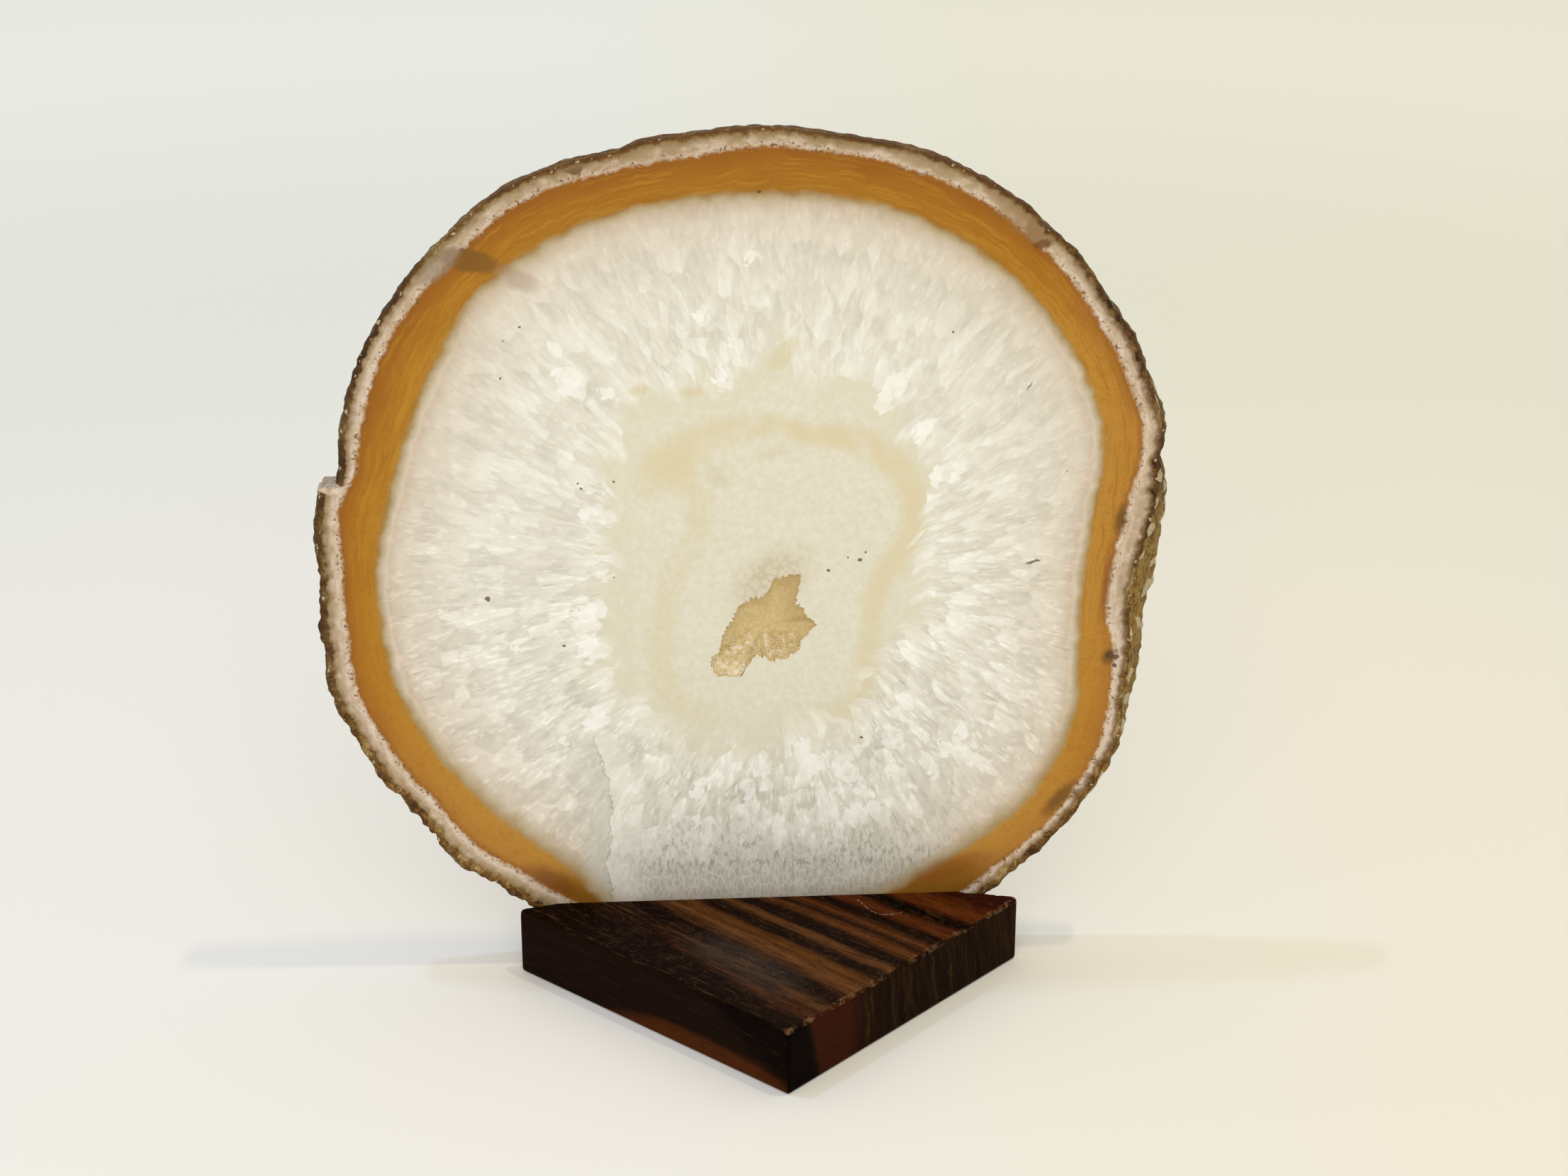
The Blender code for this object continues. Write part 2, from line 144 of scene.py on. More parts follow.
# The beige line in the core: (x, z, half width, strength)
BEIGE_LINE = [
    (-13.4, 95.5, 1.9, 0.6), (-15.4, 97.1, 2.4, 0.7), (-9.0, 100.8, 2.2, 0.8), (0.1, 103.1, 1.8, 0.9),
    (7.0, 102.4, 1.7, 1.0), (13.7, 101.4, 2.0, 1.0), (19.5, 100.2, 2.0, 1.0), (23.2, 97.7, 2.0, 1.0),
    (27.2, 93.6, 1.9, 1.0), (28.8, 88.8, 1.9, 0.95), (28.2, 81.6, 1.9, 0.85), (23.5, 74.4, 1.8, 0.85),
    (21.5, 65.4, 1.6, 0.75), (20.8, 56.4, 1.8, 0.75), (18.9, 50.4, 2.0, 0.6), (12.5, 47.5, 2.2, 0.35),
    (0.0, 46.0, 2.4, 0.1), (-9.9, 49.7, 2.2, 0.35), (-14.0, 54.3, 2.0, 0.5), (-15.2, 63.4, 2.0, 0.5),
    (-13.7, 73.7, 1.9, 0.45), (-9.5, 82.5, 1.9, 0.45), (-8.1, 89.7, 2.0, 0.55), (-13.4, 95.5, 1.9, 0.6),
]

# The crack at the lower left
CRACK = [
    (-27.4, 44.1), (-25.7, 37.8), (-24.6, 33.0), (-25.2, 28.6), (-24.8, 24.8), (-26.4, 19.9), (-25.0, 16.4),
    (-25.3, 11.4),
]

# White crystal faces that stand out: (x, z, half width). Each is longer along the growth by the same share.
BRIGHT_FACETS = [
    (-32.3, 117.2, 1.0), (-30.2, 111.3, 2.0), (-23.6, 109.4, 1.1), (-4.3, 112.0, 1.3), (-13.6, 111.9, 0.8),
    (23.6, 107.6, 1.6), (26.0, 110.6, 1.7), (31.0, 102.6, 1.1), (-24.6, 92.1, 0.6), (-27.4, 92.3, 0.6),
    (-26.0, 87.4, 1.8), (-25.3, 76.6, 1.0), (-27.4, 69.3, 2.0), (-26.6, 61.3, 1.4), (-26.9, 48.8, 1.7),
    (-32.6, 44.4, 0.7), (34.7, 93.9, 1.9), (26.4, 60.3, 1.0), (28.6, 50.3, 1.0), (25.6, 43.7, 1.8),
    (9.5, 41.1, 1.8), (12.5, 38.7, 1.2), (17.7, 37.9, 1.9), (2.5, 38.3, 1.3), (-2.7, 38.8, 0.9),
    (33.5, 64.3, 0.9), (-40.7, 63.6, 0.7), (-7.7, 123.4, 0.9), (-2.0, 118.2, 1.0), (0.9, 133.0, 1.0),
    (31.2, 44.2, 0.8), (35.5, 41.3, 1.2), (38.8, 44.4, 1.0), (-0.1, 34.2, 1.2), (3.3, 34.9, 0.9),
    (6.1, 32.1, 0.8), (-8.8, 33.7, 1.2), (-9.2, 28.1, 0.7), (-1.2, 30.1, 0.7), (15.1, 29.2, 0.8),
    (18.9, 29.9, 0.9), (20.1, 33.3, 1.0), (23.2, 29.3, 1.3), (24.3, 27.7, 0.9), (26.6, 37.2, 1.2),
    (33.1, 37.0, 1.0), (2.9, 27.8, 0.7), (16.0, 33.7, 0.7),
]
FACET_STRETCH = 1.6
FACET_RADIUS = 33.0
# They get straight, broken edges from cells of this size, each moved by up to half the shift.
SHARD_SIZE = 1.5
SHARD_SHIFT = 1.5

# Dark specks: (x, z, radius)
DARK_SPECKS = [
    (-45.5, 72.6, 0.45), (20.6, 79.7, 0.25), (19.6, 78.1, 0.3), (17.6, 78.7, 0.2), (14.2, 76.2, 0.25),
    (-28.7, 92.5, 0.28), (-29.3, 93.4, 0.2), (49.8, 138.2, 0.55), (64.6, 58.9, 0.7), (65.7, 58.4, 0.5),
    (65.4, 56.8, 0.4), (-23.4, 75.9, 0.2), (-23.0, 93.6, 0.22), (-32.5, 63.1, 0.25), (20.2, 44.0, 0.3),
    (2.1, 144.4, 0.3), (-41.3, 119.3, 0.2), (-38.3, 121.6, 0.2), (-41.9, 112.6, 0.2), (35.2, 119.3, 0.22),
]

# Patches of colour: (x, z, half length, half width, turn in degrees, softness of the edge, strength, colour)
PATCHES = [
    (-46.4, 133.4, 5.0, 2.0, -12, 0.25, 0.75, "74501E"), (-51.6, 132.8, 4.6, 1.9, 42, 0.35, 0.7, "94816A"),
    (-38.2, 130.0, 3.6, 1.6, -25, 0.5, 0.55, "AC957E"), (46.4, 139.0, 6.4, 2.0, -42, 0.35, 0.6, "94724A"),
    (49.6, 136.6, 3.0, 2.2, -50, 0.1, 0.75, "8A6A40"), (49.9, 134.6, 1.5, 0.7, 15, 0.2, 0.75, "6A441C"),
    (-28.7, 149.0, 1.9, 1.2, -10, 0.2, 0.85, "6C4824"), (65.4, 84.7, 2.6, 1.0, 80, 0.7, 0.75, "62441E"),
    (63.4, 72.5, 6.5, 0.8, 86, 0.6, 0.65, "8A5224"), (56.4, 30.8, 3.8, 1.2, 50, 0.6, 0.75, "63441C"),
    (36.5, 17.0, 6.5, 2.0, 18, 0.6, 0.6, "8A4E18"), (-35.5, 16.8, 5.0, 1.8, -30, 0.6, 0.7, "7A4418"),
    (64.5, 58.6, 1.6, 1.3, 60, 0.6, 0.7, "5A4020"), (50.3, 77.1, 1.5, 0.22, 12, 0.2, 0.8, "54402C"),
    (55.6, 93.8, 0.5, 0.14, 20, 0.2, 0.6, "7A4A34"), (48.5, 109.4, 0.8, 0.14, 60, 0.2, 0.7, "5A4430"),
    (-18.4, 110.2, 1.6, 0.9, 10, 0.5, 0.5, "D3C08E"), (-9.2, 109.6, 1.9, 0.8, 5, 0.7, 0.45, "D3C08E"),
    (4.4, 98.2, 2.6, 1.0, 10, 0.9, 0.3, "CDBB92"), (-5.2, 94.2, 1.6, 1.9, 30, 0.9, 0.35, "CDBB92"),
    (6.2, 116.0, 3.8, 1.6, 52, 0.3, 0.6, "D8CDA8"), (-13.0, 96.5, 7.5, 3.6, 35, 0.6, 0.55, "DBCCA5"),
]

# Block, as in the solid
BLOCK_THICKNESS = 12.4
BLOCK_LEFT_LEG = 66.0
BLOCK_RIGHT_LEG = 64.6
BLOCK_FRONT_CORNER = Vector((4.0, -29.3))
BLOCK_REAR_CORNER = Vector((3.0, 29.3))
BLOCK_CORNER_RADII = {"front": 0.5, "right": 1.0, "rear": 3.0, "left": 1.0}
BLOCK_EDGE_BEVEL = 0.7
LEG_ANGLE = math.radians(45)
ARC_STEPS = 6
LEAST_RADIUS = 0.02
BEVEL_STEPS = 4
# The slice's foot sits in a groove with a clearance on both sides
GROOVE_DEPTH = 1.3
CLEARANCE = 0.3
CUTTER_LENGTH = 200.0
CUTTER_HEIGHT = 20.0


def rgb(code):
    """Linear colour with full alpha from a hexadecimal sRGB code such as B0701E."""
    parts = [int(code[i : i + 2], 16) / 255 for i in (0, 2, 4)]
    return (*(p / 12.92 if p <= 0.04045 else ((p + 0.055) / 1.055) ** 2.4 for p in parts), 1.0)


class Shader:
    """Builds one material. Each method adds a node and gives back its output socket."""

    def __init__(self, name):
        self.material = bpy.data.materials.new(name)
        self.material.use_nodes = True
        self.tree = self.material.node_tree
        self.surface = self.tree.nodes["Principled BSDF"]
        self.place = self.vector("SCALE", self.add("TexCoord", output="Object"), Scale=1 / MM)

    def add(self, kind, inputs=None, output=0, **settings):
        node = self.tree.nodes.new("ShaderNode" + kind)
        for name, value in settings.items():
            setattr(node, name, value)
        for key, value in (inputs or {}).items():
            self.feed(node.inputs[key], value)
        return node.outputs[output]

    def feed(self, socket, value):
        if isinstance(value, bpy.types.NodeSocket):
            self.tree.links.new(value, socket)
        else:
            socket.default_value = value

    def math(self, operation, *values):
        return self.add("Math", dict(enumerate(values)), operation=operation)

    def times(self, first, second):
        return self.math("MULTIPLY", first, second)

    def plus(self, first, second):
        return self.math("ADD", first, second)

    def minus(self, first, second):
        return self.math("SUBTRACT", first, second)

    def absolute(self, value):
        return self.math("ABSOLUTE", value)

    def multiply_add(self, value, share, total):
        return self.math("MULTIPLY_ADD", value, share, total)

    def swing(self, value, share, total=0.0):
        """A total, plus a share of how far a value that varies about a half is from there."""
        return self.multiply_add(self.minus(value, 0.5), share, total)

    def shade(self, base, value, low, high, code, strength=1.0):
        """A base colour with another laid over it, the more strongly the nearer a value is to high."""
        return self.mix(self.ramp(value, low, high, 0.0, strength), base, rgb(code))

    def vector(self, operation, *values, output=0, Scale=None):
        inputs = dict(enumerate(values))
        if Scale is not None:
            inputs["Scale"] = Scale
        return self.add("VectorMath", inputs, output, operation=operation)

    def mix(self, share, first, second, blend="MIX"):
        settings = dict(data_type="RGBA", blend_type=blend, clamp_factor=True)
        return self.add("Mix", {0: share, 6: first, 7: second}, 2, **settings)

    def tint(self, base, cover, code, strength=1.0):
        """A base colour with another laid over it where cover is 1, as strongly as given."""
        share = cover if strength == 1.0 else self.times(cover, strength)
        return self.mix(share, base, rgb(code))

    def ramp(self, value, low, high, to_low=0.0, to_high=1.0, kind="SMOOTHSTEP"):
        """Smooth step from low to high, which may also fall."""
        inputs = {"Value": value, "From Min": low, "From Max": high, "To Min": to_low, "To Max": to_high}
        return self.add("MapRange", inputs, interpolation_type=kind, clamp=True)

    def overlap(self, *ramps):
        """Product of some ramps, each given by its arguments."""
        result = None
        for arguments in ramps:
            step = self.ramp(*arguments)
            result = step if result is None else self.times(result, step)
        return result

    def noise(self, place, scale=1.0, detail=2.0, rough=0.5, output="Fac", **inputs):
        inputs.update(Vector=place, Scale=scale, Detail=detail, Roughness=rough)
        return self.add("TexNoise", inputs, output, noise_dimensions="3D")

    def cells(self, place, scale=1.0, feature="F1", **inputs):
        """A Voronoi node, for its outputs Distance, Color and Position."""
        inputs.update(Vector=place, Scale=scale)
        return self.add("TexVoronoi", inputs, feature=feature).node.outputs

    def attribute(self, name, output="Fac"):
        return self.add("Attribute", output=output, attribute_name=name)

    def parts(self, vector):
        return self.add("SeparateXYZ", {0: vector}).node.outputs

    def combine(self, x, y, z):
        return self.add("CombineXYZ", {0: x, 1: y, 2: z})

    def colours(self, value, *stops):
        """Colour ramp over (place, code) stops."""
        node = self.add("ValToRGB", {0: value}).node
        ends = node.color_ramp.elements
        while len(ends) < len(stops):
            ends.new(0.5)
        for end, (at, code) in zip(ends, stops):
            end.position = at
        for end, (at, code) in zip(ends, stops):
            end.color = rgb(code)
        return node.outputs[0]

    def bump(self, height, distance, strength=1.0):
        return self.add("Bump", {"Height": height, "Distance": distance, "Strength": strength})

    def finish(self, **sockets):
        for name, value in sockets.items():
            self.feed(self.surface.inputs[name.replace("_", " ")], value)
        return self.material


def smooth_run(points, step):
    """Points about one step apart on a smooth curve through the given points, ends included."""
    points = [np.array(p, float) for p in points]
    padded = [points[0], *points, points[-1]]
    run = []
    for a, b, c, d in zip(padded, padded[1:], padded[2:], padded[3:]):
        parts = max(1, round(float(np.linalg.norm((c - b)[:2])) / step))
        for i in range(parts):
            t = i / parts
            pull = (c - a) * t + (2 * a - 5 * b + 4 * c - d) * t**2 + (3 * b - a - 3 * c + d) * t**3
            run.append(b + pull / 2)
    run.append(points[-1])
    return np.array(run)


def lengths(vectors):
    return np.linalg.norm(vectors, axis=1)


def unit(vectors):
    return vectors / lengths(vectors)[:, None]


def degrees_of(vectors):
    return np.degrees(np.arctan2(vectors[:, 1], vectors[:, 0]))


def evenly(points, count):
    """That many points at even spacing round a closed line."""
    closed = np.vstack([points, points[:1]])
    length = np.concatenate([[0], np.cumsum(lengths(np.diff(closed, axis=0)))])
    at = np.linspace(0, length[-1], count, endpoint=False)
    return np.stack([np.interp(at, length, closed[:, k]) for k in range(closed.shape[1])], axis=1)


def neighbour_mean(values, reach):
    """Mean of each row and its neighbours up to reach rows away, round a closed loop."""
    return sum(np.roll(values, shift, axis=0) for shift in range(-reach, reach + 1)) / (2 * reach + 1)


def by_angle(table, degrees):
    """Value of a table of (degrees, value) at angles, going on past a full turn."""
    angles, values = zip(*table)
    return np.interp(degrees, angles, values, period=360)


def interpolate(table, x):
    """Smoothly blended value at x from a table of (x, value) in rising order, level beyond its ends."""
    for (x0, v0), (x1, v1) in zip(table, table[1:]):
        if x <= x1:
            t = max(0.0, (x - x0) / (x1 - x0))
            return v0 + (v1 - v0) * t * t * (3 - 2 * t)
    return table[-1][1]


def reach_of(points, centre, degrees):
    """Distance from a centre to a closed outline in each direction."""
    spokes = evenly(smooth_run([*points, points[0]], 0.4), 1440) - centre
    return np.interp(degrees, degrees_of(spokes), lengths(spokes), period=360)


def noise_at(points, length, offset=(0.0, 0.0, 0.0)):
    """Smooth noise of about one length at each point, from -1 to 1."""
    offset = Vector(offset)
    return np.array([noise.noise(Vector(p) / length + offset) for p in points])


def flat_to_3d(places, y):
    return np.stack([places[:, 0], np.broadcast_to(y, len(places)), places[:, 1]], axis=1)


def add_object(name, data):
    obj = bpy.data.objects.new(name, data)
    bpy.context.scene.collection.objects.link(obj)
    return obj


def add_bmesh(name, bm):
    mesh = bpy.data.meshes.new(name)
    bm.to_mesh(mesh)
    bm.free()
    return add_object(name, mesh)


class RingSkin:
    """A closed body made of rings of equal numbers of points, with values kept at each point."""

    def __init__(self, fields):
        self.rings = []
        self.kinds = []
        self.values = {name: [] for name in fields}

    def ring(self, points, kind, **values):
        """Adds a ring. The strip of faces between it and the ring before gets material number kind."""
        self.rings.append(points)
        self.kinds.append(kind)
        for name, kept in self.values.items():
            kept.append(np.broadcast_to(values[name], (len(points),) + np.shape(values[name])[1:]))

    def build(self, name, materials):
        count = len(self.rings[0])
        around = np.arange(count)
        after = (around + 1) % count
        faces = []
        kinds = []
        for i, kind in enumerate(self.kinds[1:]):
            near = i * count
            far = near + count
            faces.extend(np.stack([near + around, near + after, far + after, far + around], axis=1).tolist())
            kinds.extend([kind] * count)
        faces.append(around[::-1].tolist())
        faces.append((around + (len(self.rings) - 1) * count).tolist())
        kinds.extend([self.kinds[0], self.kinds[-1]])
        mesh = bpy.data.meshes.new(name)
        mesh.from_pydata(np.vstack(self.rings) * MM, [], faces)
        for material in materials:
            mesh.materials.append(material)
        mesh.polygons.foreach_set("material_index", kinds)
        for field, kept in self.values.items():
            kept = np.concatenate(kept)
            kind = "FLOAT_VECTOR" if kept.ndim == 2 else "FLOAT"
            layer = mesh.attributes.new(field, kind, "POINT")
            layer.data.foreach_set("vector" if kept.ndim == 2 else "value", kept.astype(np.float32).ravel())
        return add_object(name, mesh)


def settle_mesh(obj, sharp_degrees, edit=None):
    """Turns all faces outwards, after an edit if one is given, and shades the mesh smooth up to an angle."""
    bm = bmesh.new()
    bm.from_mesh(obj.data)
    if edit:
        edit(bm)
    bmesh.ops.recalc_face_normals(bm, faces=bm.faces)
    bm.to_mesh(obj.data)
    bm.free()
    obj.data.shade_smooth()
    obj.data.set_sharp_from_angle(angle=math.radians(sharp_degrees))


# Stone

COLUMNS = 800
RIM_LEVELS = 14
WALL_LEVELS = 10
MIDDLE_RADIUS = 0.5
FAR_FROM_CORE = -20.0
# How many neighbouring columns the lines are smoothed over on each side
RIM_SMOOTHING = 8
BAND_SMOOTHING = 10
CORE_SMOOTHING = 3
HALO_SMOOTHING = 50
# Degrees from which an edge is sharp
STONE_SHARP = 50
CRYSTAL_SHARP = 25
WOOD_SHARP = 35
CUT, RIND, HOLLOW = range(3)


def line_distance(places, line):
    """Distances to a line of (x, z, half width, strength), and the half width and strength there."""
    run = smooth_run(line, 1.0)
    gaps = np.linalg.norm(places[:, None, :] - run[None, :, :2], axis=2)
    nearest = gaps.argmin(axis=1)
    return gaps.min(axis=1), run[nearest, 2], run[nearest, 3]


class Slice:
    """The slice's lines by column: rim, amber band, core, a halo round the hollow and the hollow's mouth."""

    def __init__(self):
        run = smooth_run(FACE_OUTLINE, 0.5)
        self.outline = evenly(run, COLUMNS)
        spokes = self.outline - CENTRE
        self.heading = unit(neighbour_mean(unit(spokes), RIM_SMOOTHING))
        self.degrees = degrees_of(self.heading)
        smooth_reach = neighbour_mean(lengths(spokes), RIM_SMOOTHING)
        outer = neighbour_mean(by_angle(AMBER_OUTER, self.degrees), BAND_SMOOTHING)
        inner = neighbour_mean(by_angle(AMBER_INNER, self.degrees), BAND_SMOOTHING)
        self.amber_outer = self.spread(CENTRE, smooth_reach - outer)
        self.amber_inner = self.spread(CENTRE, inner)
        core = neighbour_mean(reach_of(CORE_EDGE, CORE_CENTRE, self.degrees), CORE_SMOOTHING)
        self.core = self.spread(CORE_CENTRE, core)
        mouth = reach_of(HOLLOW_MOUTH, HOLLOW_CENTRE, self.degrees)
        self.halo = self.spread(HOLLOW_CENTRE, neighbour_mean(mouth, HALO_SMOOTHING) + HALO_WIDTH)
        mouth = self.spread(HOLLOW_CENTRE, mouth)
        teeth = np.abs(noise_at(flat_to_3d(mouth, 0.0), TOOTH_LENGTH))
        fine_teeth = np.abs(noise_at(flat_to_3d(mouth, FINE_TOOTH_SHIFT), FINE_TOOTH_LENGTH))
        teeth = teeth + FINE_TOOTH_SHARE * fine_teeth
        self.mouth = mouth + self.heading * (TOOTH_DEPTH * (MEAN_TOOTH - teeth))[:, None]
        self.rind = neighbour_mean(by_angle(RIND_WIDTH, self.degrees), BAND_SMOOTHING)

    def spread(self, centre, reach):
        return centre + self.heading * reach[:, None]

    def rim(self, share):
        """The rough rim at a share of the thickness behind the front face."""
        y = FRONT_Y + THICKNESS * share
        points = flat_to_3d(self.outline, y)
        rough = LUMP_DEPTH * noise_at(points, LUMP_LENGTH)
        rough += GRIT_DEPTH * noise_at(points, GRIT_LENGTH, GRIT_OFFSET)
        if share in (0.0, 1.0):
            rough *= FACE_EDGE_SHARE
            rough -= CHIP_DEPTH * np.maximum(0.0, noise_at(points, CHIP_LENGTH, CHIP_OFFSET))
        rough += GRAIN_DEPTH * noise_at(points, GRAIN_LENGTH)
        rough *= by_angle(RIM_ROUGHNESS, self.degrees)
        spokes = self.outline - CENTRE
        flare = np.array([interpolate(RIM_FLARE, angle) for angle in degrees_of(spokes)]) * share
        out = rough + RIM_BULGE * 4 * share * (1 - share) + flare
        return self.outline + unit(spokes) * out[:, None]

    def on_face(self, band, rim):
        """Places on a face. Band goes 0 mouth, 1 halo, 2 core, 3 amber inner, 4 amber outer, 5 rim."""
        lines = [self.mouth, self.halo, self.core, self.amber_inner, self.amber_outer, rim]
        i = min(int(band), 4)
        t = band - i
        return lines[i] * (1 - t) + lines[i + 1] * t

    def values(self, places, rim, band, back):
        """Values at places: how far they are inside each line, in mm, and where they lie round the slice."""

        def inside(line, centre):
            return lengths(line - centre) - lengths(places - centre)

        # The core and the slice have different middles, so depth in the quartz is taken from line to line
        depth = lengths(self.core - self.amber_inner)
        from_core = lengths(places - self.core)
        if band < 2:
            inward = depth + from_core
            in_core = from_core
        elif band <= 3:
            inward = depth * (3 - band)
            in_core = -from_core
        else:
            inward = inside(self.amber_inner, CENTRE)
            in_core = np.full(COLUMNS, FAR_FROM_CORE)
        width = lengths(self.amber_outer - self.amber_inner)
        from_outer = inside(self.amber_outer, CENTRE)
        gap, half_width, strength = line_distance(places, BEIGE_LINE)
        crack_x = np.interp(-places[:, 1], [-z for _, z in CRACK], [x for x, _ in CRACK])
        return {
            "flow": np.column_stack([self.heading, inward]),
            "edges": np.column_stack([lengths(rim - places), from_outer, in_core]),
            "lines": np.column_stack([gap / half_width, strength, places[:, 0] - crack_x]),
            "amber": np.column_stack([from_outer / width, self.rind, np.full(COLUMNS, float(back))]),
        }


def make_stone(materials):
    lines = Slice()
    skin = RingSkin(["flow", "edges", "lines", "amber"])
    front_rim = lines.rim(0.0)
    back_rim = lines.rim(1.0)
    back_y = FRONT_Y + THICKNESS
    middle = lines.spread(HOLLOW_CENTRE, np.full(COLUMNS, MIDDLE_RADIUS))

    def ring(places, y, rim, band, back, kind):
        skin.ring(flat_to_3d(places, y), kind, **lines.values(places, rim, band, back))

    def face(bands, y, rim, back, kind):
        """Rings on a face. The strip before the first one has a material of its own."""
        for band in bands:
            ring(lines.on_face(band, rim), y, rim, band, back, kind)
            kind = CUT

    ring(middle, back_y, back_rim, 0.0, True, CUT)
    back_bands = [0.0, 0.5, *np.linspace(1, 2, 7), *np.linspace(2, 3, 12)[1:], *np.linspace(3, 4, 9)[1:]]
    face([*back_bands, 4.3, 4.6, 4.85, 5.0], back_y, back_rim, True, CUT)
    for level in range(1, RIM_LEVELS):
        share = 1 - level / RIM_LEVELS
        rim = lines.rim(share)
        ring(rim, FRONT_Y + THICKNESS * share, rim, 5.0, share > 0.5, RIND)
    front_bands = [5.0, 4.88, 4.75, 4.6, 4.4, 4.2, *np.linspace(4, 3, 11), *np.linspace(3, 2, 19)[1:]]
    front_bands += [*np.linspace(2, 1, 10)[1:], 0.8, 0.6, 0.4, 0.2, 0.0]
    face(front_bands, FRONT_Y, front_rim, False, RIND)

    depths = np.linspace(0, HOLLOW_SECTIONS[-1][0], WALL_LEVELS + 1)[1:]
    for depth in depths:
        wall = HOLLOW_CENTRE + (lines.mouth - HOLLOW_CENTRE) * interpolate(HOLLOW_SECTIONS, depth)
        ring(wall, FRONT_Y + depth, front_rim, 0.0, False, HOLLOW)
    ring(middle, FRONT_Y + depths[-1], front_rim, 0.0, False, HOLLOW)
    stone = skin.build("agate_stone", materials)

    def saw_foot(bm):
        geom = [*bm.verts, *bm.edges, *bm.faces]
        place = (0, 0, FOOT_Z * MM)
        cut = bmesh.ops.bisect_plane(bm, geom=geom, plane_co=place, plane_no=(0, 0, -1), clear_outer=True)
        edges = [item for item in cut["geom_cut"] if isinstance(item, bmesh.types.BMEdge)]
        for made in bmesh.ops.contextual_create(bm, geom=edges)["faces"]:
            made.material_index = CUT

    settle_mesh(stone, STONE_SHARP, saw_foot)
    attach(stone, "root")
    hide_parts("agate_slice")


# Colours of the rind, by the height of its grains: its own browns and olive-golds, with painted shade in the
# hollows and painted light on the tops
RIND_COLOURS = [
    (0.36, "221406"), (0.48, "40280E"), (0.6, "5E3E16"), (0.72, "765426"), (0.84, "8E6E38"),
    (0.97, "B09662"),
]


def rind_colour(sh):
    """Brown rind with olive-gold bumps, partly its own colour and partly painted shade in the hollows and
    painted light on the bumps, and the height of its grains.
    """
    broad = sh.noise(sh.place, 0.13, 2, 0.6)
    bumps = sh.noise(sh.place, 0.55, 3, 0.6)
    fine = sh.noise(sh.place, 2.2, 3, 0.65)
    height = sh.multiply_add(fine, 0.35, bumps)
    level = sh.swing(broad, 1.2, height)
    base = sh.colours(level, *RIND_COLOURS)
    x, _, z = sh.parts(sh.place)
    left = sh.overlap((x, -48, -62), (z, 40, 62))
    base = sh.tint(base, left, "3A2610", 0.55)
    return sh.shade(base, z, 128, 146, "744C1E", 0.6), height


def oval(sh, place, x, z, half_length, half_width, turn):
    """Distance from the middle of an oval on the stone's face, with 1 on its edge."""
    inputs = {
        "Vector": place,
        "Location": (x, 0, z),
        "Rotation": (0, -math.radians(turn), 0),
        "Scale": (half_length, 1, half_width),
    }
    return sh.vector("LENGTH", sh.add("Mapping", inputs, vector_type="TEXTURE"), output=1)


# Bare chalky stone at the broken step on the left: (x, z, half length, half width, turn in degrees)
NOTCH_PATCH = (-71.8, 93.6, 2.9, 1.2, -18)


def notch_colour(sh, stone):
    """Colour of the stone, or of the bare chalky stone at the broken step."""
    place = sh.vector("MULTIPLY", sh.place, (1, 0, 1))
    speckle = sh.noise(sh.place, 0.9, 3, 0.6)
    gap = sh.swing(speckle, 0.8, oval(sh, place, *NOTCH_PATCH))
    pale = sh.colours(speckle, (0.35, "AE9478"), (0.5, "CDB8A0"), (0.65, "DCCBBA"))
    return sh.mix(sh.ramp(gap, 1.1, 0.8), stone, pale)


